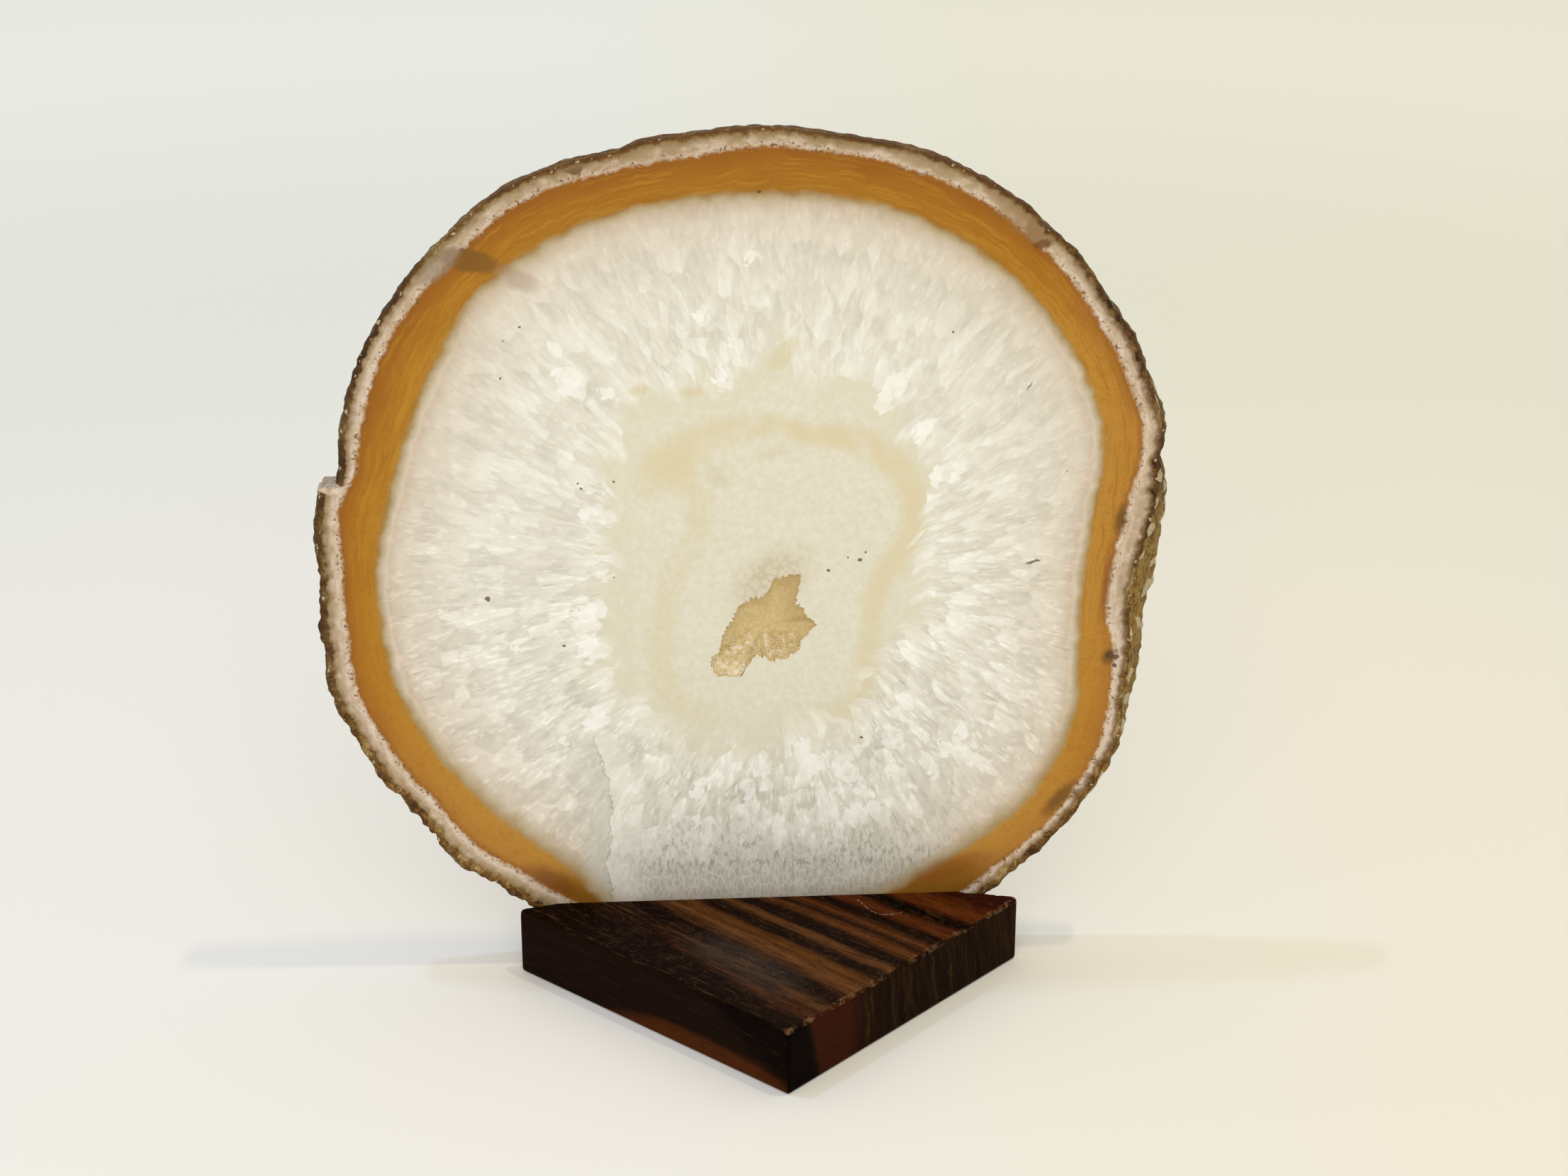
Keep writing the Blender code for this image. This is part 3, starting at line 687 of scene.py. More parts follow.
class AgateShader(Shader):
    """The sawn faces of the stone. The mesh says where its bands are, as Slice.values writes it."""

    def __init__(self):
        super().__init__("agate_cut")
        self.flow = self.attribute("flow", "Vector")
        self.cosine, self.sine, self.inward = self.parts(self.flow)
        self.from_rim, self.from_outer, self.in_core = self.parts(self.attribute("edges", "Vector"))
        self.beige_gap, self.beige_strength, self.crack_side = self.parts(self.attribute("lines", "Vector"))
        self.share, self.rind_width, back = self.parts(self.attribute("amber", "Vector"))
        self.front_only = self.minus(1, back)
        self.x, _, self.z = self.parts(self.place)

        # The back face has patterns of its own, and a slow drift bends the strokes on both.
        self.on_back = self.vector("SCALE", (31, 17, 23), Scale=back)
        self.here = self.vector("ADD", self.place, self.on_back)
        self.drift = self.off_half(self.noise(self.here, 0.085, 2, output="Color"))
        self.flat = self.vector("MULTIPLY", self.place, (1, 0, 1))
        wander = self.off_half(self.noise(self.place, 0.9, 2, output="Color"))
        self.ragged = self.vector("MULTIPLY_ADD", wander, (1, 0, 1), self.flat)
        self.edge_noise = self.noise(self.here, 0.75, 4, 0.65)

    def off_half(self, colour):
        """How far three random numbers, kept as a colour, are from a half."""
        return self.vector("SUBTRACT", colour, (0.5, 0.5, 0.5))

    def outside(self, place, spots):
        """How far a place is outside the nearest of some round spots (x, z, radius), negative inside one."""
        nearest = None
        for x, z, radius in spots:
            gap = self.minus(self.vector("DISTANCE", place, (x, 0, z), output=1), radius)
            nearest = gap if nearest is None else self.math("MINIMUM", nearest, gap)
        return nearest

    def grown(self, radius, width, length, sway):
        """Place with units of one width across the crystals' growth and one length along it, at a radius."""
        turns = radius / width
        stretched = self.vector("MULTIPLY", self.flow, (turns, turns, 1 / length))
        bent = self.vector("MULTIPLY_ADD", self.drift, (sway, sway, sway), stretched)
        return self.vector("ADD", bent, self.on_back)

    def strokes(self, place, **settings):
        """Cells in a grown place: their own random numbers and the offset from the cell's middle."""
        cell = self.cells(place, **settings)
        return self.parts(cell["Color"]), self.vector("SUBTRACT", place, cell["Position"])

    def stroke_light(self, cell, own_share, tip_share, aside_share):
        """Light of a stroke: its own, more towards its tip, and less towards its sides."""
        own, offset = cell
        few = self.math("POWER", own[0], 2)
        light = self.times(self.minus(few, 0.35), own_share)
        light = self.multiply_add(self.parts(offset)[2], tip_share, light)
        return self.multiply_add(self.minus(0.25, self.aside(offset)), aside_share, light)

    def aside(self, offset):
        """How far an offset goes across the growth."""
        sideways = self.combine(self.times(self.sine, -1), self.cosine, 0)
        return self.absolute(self.vector("DOT_PRODUCT", offset, sideways, output=1))

    def ticks(self, cell, share):
        """Short thin lines along the growth, in a share of the cells."""
        own, offset = cell
        ahead = self.absolute(self.parts(offset)[2])
        line = self.overlap((self.aside(offset), 0.07, 0.02), (ahead, 0.42, 0.25))
        return self.times(line, self.ramp(own[2], 1 - share, 1 - share + 0.03))


def quartz(sh):
    """Pointed crystals that grow inwards, finest by the amber band, and clearer quartz above the foot."""
    cloud = sh.noise(sh.here, 0.12, 4, 0.6)
    light = sh.swing(cloud, 0.5)
    streak = sh.noise(sh.grown(50, 0.7, 2.2, 1.5), 1, 3, 0.65)
    light = sh.swing(streak, 0.6, light)

    fine = sh.strokes(sh.grown(52, 0.8, 2, 1.5))
    own, offset = fine
    reach = sh.vector("LENGTH", offset, output=1)
    reach = sh.swing(streak, -2.4, reach)
    spot = sh.overlap((reach, 0.44, 0.3), (own[0], 0.5, 0.66), (sh.z, 110, 70, 0.22, 0.4))
    light = sh.plus(light, spot)
    light = sh.swing(own[1], 0.15, light)
    faint = sh.ramp(sh.z, 110, 70, -0.15, -0.5)
    light = sh.multiply_add(sh.ticks(fine, 0.12), faint, light)
    chip = sh.cells(sh.here, 0.75)["Color"]
    light = sh.swing(sh.parts(chip)[0], 0.16, light)
    blade = sh.strokes(sh.grown(50, 1.9, 4.4, 1.5), feature="SMOOTH_F1", Smoothness=0.2)
    share = sh.ramp(sh.inward, 3, 9, 0.3, 1)
    light = sh.multiply_add(sh.stroke_light(blade, 0.6, 0.12, 0.3), share, light)
    light = sh.multiply_add(sh.ticks(blade, 0.2), faint, light)
    facet = sh.strokes(sh.grown(34, 2.8, 4.4, 1.5), feature="SMOOTH_F1", Smoothness=0.1)
    share = sh.ramp(sh.in_core, -16, -6)
    light = sh.multiply_add(sh.stroke_light(facet, 0.6, 0.15, 0.2), share, light)
    light = sh.multiply_add(sh.ramp(sh.in_core, -10, -2), 0.15, light)

    off_middle = sh.absolute(sh.minus(sh.x, 4))
    below = sh.overlap((sh.z, 40, 24), (off_middle, 38, 22))
    contrast = sh.multiply_add(below, 0.3, sh.ramp(sh.z, 100, 50, 0.44, 0.64))
    light = sh.multiply_add(light, contrast, sh.multiply_add(below, 0.02, 0.48))
    stone = sh.colours(
        light, (0, "BDB8A9"), (0.25, "D3CEC0"), (0.5, "E4DFD1"), (0.75, "F0ECE1"), (1, "FAF8F0")
    )
    stone = sh.mix(sh.ramp(sh.inward, 18, 2, 0, 0.8), stone, rgb("F2E9E1"), "MULTIPLY")
    return foot_quartz(sh, stone, cloud)


def foot_quartz(sh, stone, cloud):
    """Clear grey quartz above the foot, netted with pale threads and dark slits, with painted shade where it
    meets the wood.
    """
    low = sh.swing(cloud, 22, sh.z)
    middle = sh.ramp(sh.absolute(sh.minus(sh.x, 5)), 36, 24)
    clear = sh.times(sh.ramp(low, 30, 20), middle)
    squeezed = sh.vector("MULTIPLY", sh.here, (1, 1, 0.45))
    net = sh.cells(squeezed, 1.1, feature="DISTANCE_TO_EDGE")["Distance"]
    net = sh.ramp(net, 0.16, 0.02)
    slit_noise = sh.noise(squeezed, 1.2, 3, 0.6)
    slits = sh.overlap((slit_noise, 0.51, 0.61), (sh.z, 31, 27), (sh.z, 14, 20))
    grey = sh.mix(sh.ramp(sh.z, 26, 13), rgb("D2CEC1"), rgb("B7B1A1"))
    grey = sh.tint(grey, net, "E2DFD4", 0.55)
    grey = sh.tint(grey, slits, "8E8A7F", 0.75)
    stone = sh.mix(sh.times(clear, 0.8), stone, grey)
    # Painted shade: the stone darkens towards the wood, and darker still down in the groove
    stone = sh.shade(stone, sh.z, 15.5, 12, "8C8068", 0.45)
    return sh.shade(stone, sh.z, 12.4, 11.6, "4A3A24", 0.8)


def crack(sh, stone):
    """A crack at the lower left, greyer on its left and milky on its right."""
    wander = sh.swing(sh.edge_noise, 3)
    side = sh.plus(sh.crack_side, wander)
    reach = sh.times(sh.ramp(sh.z, 48, 42), sh.front_only)
    grey = sh.overlap((side, -6.5, -1.5), (side, 0.2, -0.2))
    stone = sh.tint(stone, sh.times(grey, reach), "C8C4B9", 0.55)
    milky = sh.overlap((side, 0, 0.4), (side, 9, 2))
    stone = sh.tint(stone, sh.times(milky, reach), "ECE8DC", 0.5)
    line = sh.times(sh.ramp(sh.absolute(side), 0.22, 0.05), reach)
    return sh.tint(stone, line, "8F8A7C", 0.45)


def core(sh, stone):
    """Cream quartz, finely granular, with a beige line and a browner haze of small cells over the hollow."""
    grains = sh.noise(sh.here, 0.9, 3, 0.6)
    soft = sh.noise(sh.here, 0.2, 3, 0.55)
    cream = sh.colours(grains, (0.3, "DBD6BF"), (0.5, "E0DBC6"), (0.7, "E6E1D0"))
    cream = sh.shade(cream, sh.in_core, 9, 1, "DBD5B9", 0.5)
    beige_edge = sh.swing(soft, 1.2, sh.beige_gap)
    beige = sh.times(sh.ramp(beige_edge, 2, 0.3), sh.beige_strength)
    cream = sh.tint(cream, beige, "DBCCA5", 0.85)
    haze = sh.ramp(oval(sh, sh.ragged, 4.2, 75, 9.5, 6, 35), 1.2, 0.3)
    cream = sh.tint(cream, haze, "CFBFA2", 0.5)
    beads = sh.cells(sh.flat)["Distance"]
    beads = sh.times(sh.ramp(beads, 0.45, 0.65), sh.math("POWER", haze, 2))
    cream = sh.tint(cream, beads, "B9A687", 0.35)
    own, offset = sh.strokes(sh.grown(34, 2.8, 4.4, 1.5), feature="SMOOTH_F1", Smoothness=0.1)
    jag = sh.swing(own[0], -5)
    jag = sh.multiply_add(sh.aside(offset), 3, jag)
    jag = sh.swing(soft, 9, jag)
    edge = sh.plus(sh.in_core, jag)
    edge = sh.times(edge, sh.ramp(sh.z, 75, 55, 1, 0.45))
    return sh.mix(sh.ramp(edge, -2.2, 3.2), stone, cream)


def crystal_faces(sh, stone):
    """White crystal faces round the core."""
    broken = sh.cells(sh.flat, 1 / SHARD_SIZE)
    moved = sh.vector("MULTIPLY_ADD", sh.off_half(broken["Color"]), (SHARD_SHIFT, 0, SHARD_SHIFT), sh.flat)
    # Places are squeezed along the growth, so that a round spot there is a long one on the stone.
    middle = (CORE_CENTRE[0], 0, CORE_CENTRE[1])
    spoke = sh.vector("SUBTRACT", moved, middle)
    reach = sh.vector("LENGTH", spoke, output=1)
    squeeze = sh.multiply_add(reach, 1 / FACET_STRETCH, FACET_RADIUS * (1 - 1 / FACET_STRETCH))
    squeezed = sh.vector("SCALE", sh.vector("NORMALIZE", spoke), Scale=squeeze)
    spots = []
    for x, z, half_width in BRIGHT_FACETS:
        out = np.array((x, z)) - CORE_CENTRE
        length = np.linalg.norm(out)
        out *= (length / FACET_STRETCH + FACET_RADIUS * (1 - 1 / FACET_STRETCH)) / length
        spots.append((float(out[0]), float(out[1]), half_width))
    bright = sh.times(sh.ramp(sh.outside(squeezed, spots), 0.08, -0.08), sh.front_only)
    sparkle = sh.ramp(sh.parts(broken["Color"])[0], 0, 1, 0.35, 0.85, kind="LINEAR")
    return sh.tint(stone, sh.times(bright, sparkle), "F8F6EF")


def amber_band(sh, stone):
    """Amber agate in fine layers, redder outside, fading into the quartz inside."""
    ripple = sh.multiply_add(sh.noise(sh.here, 0.3, 2), 2.4, sh.times(sh.share, 11))
    layer_place = sh.vector("MULTIPLY", sh.flow, (6, 6, 0))
    layers = sh.noise(sh.vector("ADD", layer_place, sh.combine(0, 0, ripple)), 1, 3, 0.6)
    calm = sh.ramp(sh.sine, 0, -0.5, 1, 0.35)
    layers = sh.multiply_add(sh.minus(layers, 0.48), calm, 0.48)
    mottle = sh.noise(sh.here, 0.7, 3, 0.6)
    patchy = sh.noise(sh.here, 0.11, 2, 0.5)
    amber = sh.colours(
        sh.share, (0, "A0661B"), (0.3, "AA701C"), (0.6, "B37A1E"), (0.88, "B48026"), (1, "A28046")
    )
    red_reach = sh.multiply_add(patchy, 0.9, sh.times(sh.share, -1))
    red = sh.overlap((red_reach, 0, 0.5), (sh.sine, -0.3, 0.6, 0.3, 0.8))
    amber = sh.tint(amber, red, "94580F")
    amber = sh.shade(amber, sh.sine, 0.5, 1, "864A0C", 0.35)
    pale = sh.math("MAXIMUM", sh.ramp(sh.sine, -0.3, -0.8), sh.ramp(sh.cosine, 0.7, 1))
    amber = sh.tint(amber, pale, "C8964A", 0.4)
    # Painted shade: the amber darkens towards the wood below
    amber = sh.shade(amber, sh.z, 22, 12, "6E4612", 0.8)
    grit = sh.noise(sh.here, 2.6, 3, 0.7)
    amber = sh.tint(amber, sh.ramp(grit, 0.4, 0.62, 0.25, 0), "8E5A14")
    amber = sh.shade(amber, layers, 0.48, 0.66, "98600F", 0.45)
    amber = sh.shade(amber, layers, 0.48, 0.34, "BE8A28", 0.35)
    amber = sh.shade(amber, mottle, 0.5, 0.72, "9A6014", 0.3)

    wobble = sh.minus(sh.noise(sh.here, 0.3, 2, 0.5), 0.5)
    edge = sh.multiply_add(wobble, 2, sh.inward)
    sideways = sh.absolute(sh.cosine)
    softness = sh.ramp(sideways, 0.95, 0.75, 1, 1.5)
    softness = sh.plus(softness, sh.ramp(sh.sine, -0.3, -0.75, 0, 0.8))
    step = sh.math("DIVIDE", edge, softness)
    stone = sh.mix(sh.ramp(edge, 5, 0.5, 0, 0.9), stone, rgb("EADDD0"), "MULTIPLY")
    line = sh.ramp(sh.absolute(sh.minus(edge, 1.4)), 0.7, 0.1)
    line = sh.times(line, sh.ramp(sideways, 0.7, 0.9))
    stone = sh.tint(stone, line, "E6DCC8", 0.25)
    stone = sh.shade(stone, step, 1.4, 0.3, "B7A583", 0.6)
    stone = sh.shade(stone, step, 0.8, -0.1, "A38B5C", 0.7)
    return sh.mix(sh.ramp(step, 0.3, -0.5), stone, amber)


def white_band(sh, stone):
    """Pinkish-white band, olive-tan outside, with brown dots along its lacy inner edge."""
    wide = sh.overlap((sh.z, 95, 86), (sh.z, 60, 68), (sh.x, 54, 60, 0, -1.4))
    gap = sh.swing(sh.edge_noise, 1.9, sh.from_outer)
    gap = sh.plus(gap, wide)
    lines = sh.noise(sh.grown(64, 2.2, 0.9, 1.2), 1, 4, 0.7)
    white = sh.colours(lines, (0.3, "B29778"), (0.43, "C6AF93"), (0.56, "D5C0AA"), (0.72, "E2D2C3"))
    tan = sh.noise(sh.here, 0.25, 3, 0.6)
    reach = sh.multiply_add(sh.ramp(sh.sine, 0.4, 0.95), -0.8, gap)
    upright = sh.absolute(sh.cosine)
    outer = sh.overlap((reach, -0.8, -2.2), (tan, 0.34, 0.56, 0.3, 1), (upright, 0.75, 0.35, 0.55, 0.9))
    smooth = sh.overlap((sh.cosine, 0.3, 0.7), (sh.z, 74, 62))
    white = sh.tint(white, smooth, "DCC8B4", 0.6)
    white = sh.tint(white, outer, "9E8660")
    seam = sh.times(sh.ramp(gap, 1.2, 0.2), sh.multiply_add(smooth, -0.45, 0.6))
    stone = sh.tint(stone, seam, "935A1A")
    stone = sh.mix(sh.ramp(gap, 0.35, -0.55), stone, white)
    chain = sh.ramp(sh.absolute(sh.plus(gap, 0.3)), 1.1, 0.2, 0, 0.8)
    dots = sh.ramp(sh.noise(sh.here, 1.6, 3, 0.6), 0.56, 0.63)
    return sh.tint(stone, sh.times(chain, dots), "644020")


def patches(sh, stone):
    """Stains and other patches of colour on the front."""
    for x, z, half_length, half_width, turn, fade, strength, colour in PATCHES:
        gap = oval(sh, sh.ragged, x, z, half_length, half_width, turn)
        cover = sh.times(sh.ramp(gap, 1 + fade, 1 - fade, 0, strength), sh.front_only)
        stone = sh.tint(stone, cover, colour)
    return stone


def rind_edge(sh, stone):
    """Rind along the rim. Gives back the colour, the share that is rind and the rind's height."""
    rind, height = rind_colour(sh)
    edge = sh.swing(sh.edge_noise, 1.8, sh.rind_width)
    past = sh.minus(sh.from_rim, edge)
    dark = sh.mix(sh.ramp(sh.x, 50, 64), rgb("8A7048"), rgb("5E3C14"))
    stone = sh.mix(sh.ramp(past, 1.1, 0, 0, 0.8), stone, dark)
    share = sh.ramp(past, 0.15, -0.35)
    stone = sh.mix(share, stone, rind)
    stone = sh.shade(stone, sh.from_rim, 0.8, 0, "402810", 0.6)
    chip = sh.overlap((sh.noise(sh.here, 0.8, 2), 0.64, 0.68), (sh.from_rim, 0.6, 0.4))
    stone = sh.tint(stone, chip, "CDB99C", 0.7)
    return notch_colour(sh, stone), share, height


def specks(sh, stone):
    """Dark specks on the front."""
    cover = sh.ramp(sh.outside(sh.ragged, DARK_SPECKS), 0.05, -0.05, 0, 0.85)
    return sh.tint(stone, sh.times(cover, sh.front_only), "54402C")


def agate_material():
    sh = AgateShader()
    stone = quartz(sh)
    for lay_over in (crack, core, crystal_faces, amber_band, white_band, patches):
        stone = lay_over(sh, stone)
    stone, rind_share, rind_height = rind_edge(sh, stone)
    stone = specks(sh, stone)
    bump = sh.bump(sh.times(rind_share, rind_height), 0.0002, 0.6)
    roughness = sh.mix(rind_share, (0.2, 0.2, 0.2, 1), (0.6, 0.6, 0.6, 1))
    return sh.finish(Base_Color=stone, Roughness=roughness, IOR=1.54, Specular_IOR_Level=0.15, Normal=bump)


def rind_material():
    sh = Shader("agate_rind")
    colour, height = rind_colour(sh)
    pits = sh.cells(sh.place, 1.3)["Distance"]
    height = sh.multiply_add(pits, 0.5, height)
    colour = sh.shade(colour, pits, 0.35, 0.75, "33210F", 0.5)
    x, _, z = sh.parts(sh.place)
    # On the right the rind runs from near black in the hollows to gold on the bumps: its own gold, with
    # painted shade and painted light by height
    golden = sh.overlap((x, 55, 66), (z, 96, 84))
    gold = sh.colours(height, (0.4, "321E08"), (0.62, "624214"), (0.8, "805C22"), (1, "A08040"))
    colour = sh.mix(sh.times(golden, 0.8), colour, gold)
    chips = sh.cells(sh.place, 0.45)["Color"]
    glassy = sh.overlap((sh.parts(chips)[0], 0.86, 0.88), (x, 58, 66))
    colour = sh.tint(colour, glassy, "C9BC97", 0.8)
    colour = notch_colour(sh, colour)
    bump = sh.bump(height, 0.0009)
    return sh.finish(Base_Color=colour, Roughness=0.55, Specular_IOR_Level=0.12, Normal=bump)


def hollow_material():
    sh = Shader("agate_hollow")
    grains = sh.noise(sh.place, 1.2, 3)
    colour = sh.colours(grains, (0.3, "C9B07C"), (0.5, "D3BF92"), (0.7, "E2D4B0"))
    return sh.finish(Base_Color=colour, Roughness=0.35, Normal=sh.bump(grains, 0.0002, 0.4))


# Crystal crust in the hollow

CRUST_COLUMNS = 240
CRUST_SEED = 11
CRUST_ROWS = 30
# Its surface, below the stone's face: in the middle, how much less that is at the top, and at the rim
FLOOR_DEPTH = 2.2
FLOOR_TILT = 0.5
RIM_DEPTH = 0.35
# How far its rim goes into the wall, the depth of its back, and the depth of the ring between them
CRUST_OVERLAP = 0.35
CRUST_BACK = 4.05
WALL_DEPTH = 2.6
SMALL_CRYSTALS = 700
CRYSTAL_RADIUS = (0.14, 0.34)
CRYSTAL_LENGTH = (0.2, 0.5)
# Lower and upper end of a crystal's stem: (share of the length, share of the radius)
CRYSTAL_LEVELS = [(-0.3, 1.0), (0.45, 0.92)]
# They thin out at about this height over the middle of the hollow
CRYSTALS_UP_TO = -1.5
THINNING = (-2.0, 1.0)
# Lumps of the surface: (height, length), and the depths it keeps to
CRUST_LUMPS = [(0.22, 2.4), (0.06, 0.8)]
LEAST_DEPTH = 0.3
GREATEST_DEPTH = 3.9
SIXTH = math.pi / 3


def make_crust(materials):
    rng = random.Random(CRUST_SEED)
    degrees = np.linspace(0, 360, CRUST_COLUMNS, endpoint=False)
    heading = np.stack([np.cos(np.radians(degrees)), np.sin(np.radians(degrees))], axis=1)
    mouth = reach_of(HOLLOW_MOUTH, HOLLOW_CENTRE, degrees)

    def around(reach, y):
        return flat_to_3d(HOLLOW_CENTRE + heading * reach[:, None], y)

    def surface(share):
        """The crust's surface and its depth, from the middle at share 0 to the rim at share 1."""
        reach = (mouth + CRUST_OVERLAP) * share
        points = around(reach, 0.0)
        floor = FLOOR_DEPTH - FLOOR_TILT * (heading[:, 1] * share)
        depth = floor - (floor - RIM_DEPTH) * share**3
        depth = depth - sum(height * noise_at(points, length) for height, length in CRUST_LUMPS)
        return around(reach, FRONT_Y + np.clip(depth, LEAST_DEPTH, GREATEST_DEPTH)), depth

    skin = RingSkin(["deep"])
    for share in (0.05, 0.5, 0.95):
        skin.ring(around((mouth * 0.72 - 0.5) * share, FRONT_Y + CRUST_BACK), 0, deep=CRUST_BACK)
    skin.ring(around(mouth * 0.9 - 0.55, FRONT_Y + WALL_DEPTH), 0, deep=WALL_DEPTH)
    for share in [1.0, 0.985, 0.965, *np.linspace(0.94, 0.04, 19)]:
        points, depth = surface(share)
        skin.ring(points, 0, deep=depth)
    crust = skin.build("hollow_crystals", materials)
    rows = [surface(max(row, 1) / CRUST_ROWS) for row in range(CRUST_ROWS + 1)]

    def add_crystals(bm):
        layer = bm.verts.layers.float["deep"]
        for _ in range(SMALL_CRYSTALS):
            share = math.sqrt(rng.random()) * 0.97
            column = rng.randrange(CRUST_COLUMNS)
            points, depth = rows[round(share * CRUST_ROWS)]
            if points[column][2] > HOLLOW_CENTRE[1] + CRYSTALS_UP_TO + rng.uniform(*THINNING):
                continue
            foot = Vector(points[column]) * MM
            lean = Vector((-heading[column][0], 0.0, -heading[column][1])) * (share**3 * 0.9)
            scatter = Vector([rng.uniform(-0.5, 0.5) for _ in range(3)])
            direction = (Vector((0.0, -1.0, 0.0)) + lean + scatter).normalized()
            radius = rng.uniform(*CRYSTAL_RADIUS) * MM
            length = rng.uniform(*CRYSTAL_LENGTH) * MM
            turn = direction.to_track_quat("Z", "Y").to_matrix().to_4x4()
            turn = turn @ Matrix.Rotation(rng.uniform(0, SIXTH), 4, "Z")
            low, high = [], []
            for ring, (level, size) in zip((low, high), CRYSTAL_LEVELS):
                for k in range(6):
                    wide = radius * size
                    corner = Vector((math.cos(k * SIXTH) * wide, math.sin(k * SIXTH) * wide, level * length))
                    ring.append(bm.verts.new(foot + turn @ corner))
            tip = bm.verts.new(foot + direction * length)
            for vert in [*low, *high, tip]:
                vert[layer] = float(depth[column])
            for k in range(6):
                j = (k + 1) % 6
                bm.faces.new((low[k], low[j], high[j], high[k]))
                bm.faces.new((high[k], high[j], tip))
            bm.faces.new(low[::-1])
        for vert in bm.verts:
            vert.co.y = max(vert.co.y, (FRONT_Y + LEAST_DEPTH) * MM)

    settle_mesh(crust, CRYSTAL_SHARP, add_crystals)
    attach(crust, "root")
    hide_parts("druse_crystals")


def crust_material():
    sh = Shader("druse_quartz")
    deep = sh.attribute("deep")
    x, _, z = sh.parts(sh.place)
    grains = sh.noise(sh.place, 1.6, 3, 0.6)
    colour = sh.colours(grains, (0.3, "C8AD74"), (0.5, "D0B780"), (0.7, "D9C392"))
    lower = sh.multiply_add(sh.noise(sh.place, 0.5, 2), 6, z)
    colour = sh.shade(colour, lower, 67, 60, "DDCDA2", 0.6)
    colour = sh.shade(colour, deep, 0.6, 0.3, "A98A50", 0.3)
    right = sh.overlap((x, 4, 9), (z, 62, 68))
    colour = sh.tint(colour, right, "AE8C50", 0.35)
    glints = sh.cells(sh.place, 1.4)["Color"]
    sparkle = sh.overlap((sh.parts(glints)[0], 0.8, 0.84), (lower, 68, 64))
    colour = sh.tint(colour, sparkle, "F0E8D4", 0.5)
    return sh.finish(Base_Color=colour, Roughness=0.22, IOR=1.54, Specular_IOR_Level=0.3)


# Wood block


def block_outline(step, inset):
    """Outline of the block from above, anticlockwise from the front corner, with round corners, drawn in by
    an inset. Every inset gives the same number of points."""
    front = BLOCK_FRONT_CORNER
    right = front + Vector((math.cos(LEG_ANGLE), math.sin(LEG_ANGLE))) * BLOCK_RIGHT_LEG
    left = front + Vector((-math.cos(LEG_ANGLE), math.sin(LEG_ANGLE))) * BLOCK_LEFT_LEG
    corners = {"front": front, "right": right, "rear": BLOCK_REAR_CORNER, "left": left}
    names = list(corners)
    arcs = []
    for i, name in enumerate(names):
        corner = corners[name]
        to_before = (corners[names[i - 1]] - corner).normalized()
        to_after = (corners[names[(i + 1) % len(names)]] - corner).normalized()
        half = to_before.angle(to_after) / 2
        inwards = (to_before + to_after).normalized() / math.sin(half)
        radius = max(BLOCK_CORNER_RADII[name] - inset, LEAST_RADIUS)
        middle = corner + inwards * (inset + radius)
        start = to_before * (radius / math.tan(half)) - inwards * radius
        turn = math.pi - 2 * half
        turns = [Matrix.Rotation(turn * k / ARC_STEPS, 2) for k in range(ARC_STEPS + 1)]
        arcs.append([middle + matrix @ start for matrix in turns])
    run = []
    for i, arc in enumerate(arcs):
        target = arcs[(i + 1) % len(arcs)][0]
        parts = round((corners[names[(i + 1) % len(names)]] - corners[names[i]]).length / step)
        run.extend(arc)
        run.extend(arc[-1].lerp(target, k / parts) for k in range(1, parts))
    return np.array([tuple(place) for place in run])


SKIN_STEP = 0.45
# Wear of the top edge: how far it reaches, its depth, and (length of its noise, offset, threshold)
WEAR_REACH = 1.5
WEAR_DEPTH = 0.5
WEAR = [(2.6, (1.0, 2.0, 3.0), 0.1), (1.1, (4.0, 2.0, 6.0), 0.2)]
# The wood is worn light by a value at each point, about its distance to the top edge
ON_TOP_EDGE = 0.2
AT_BOTTOM = 9.0


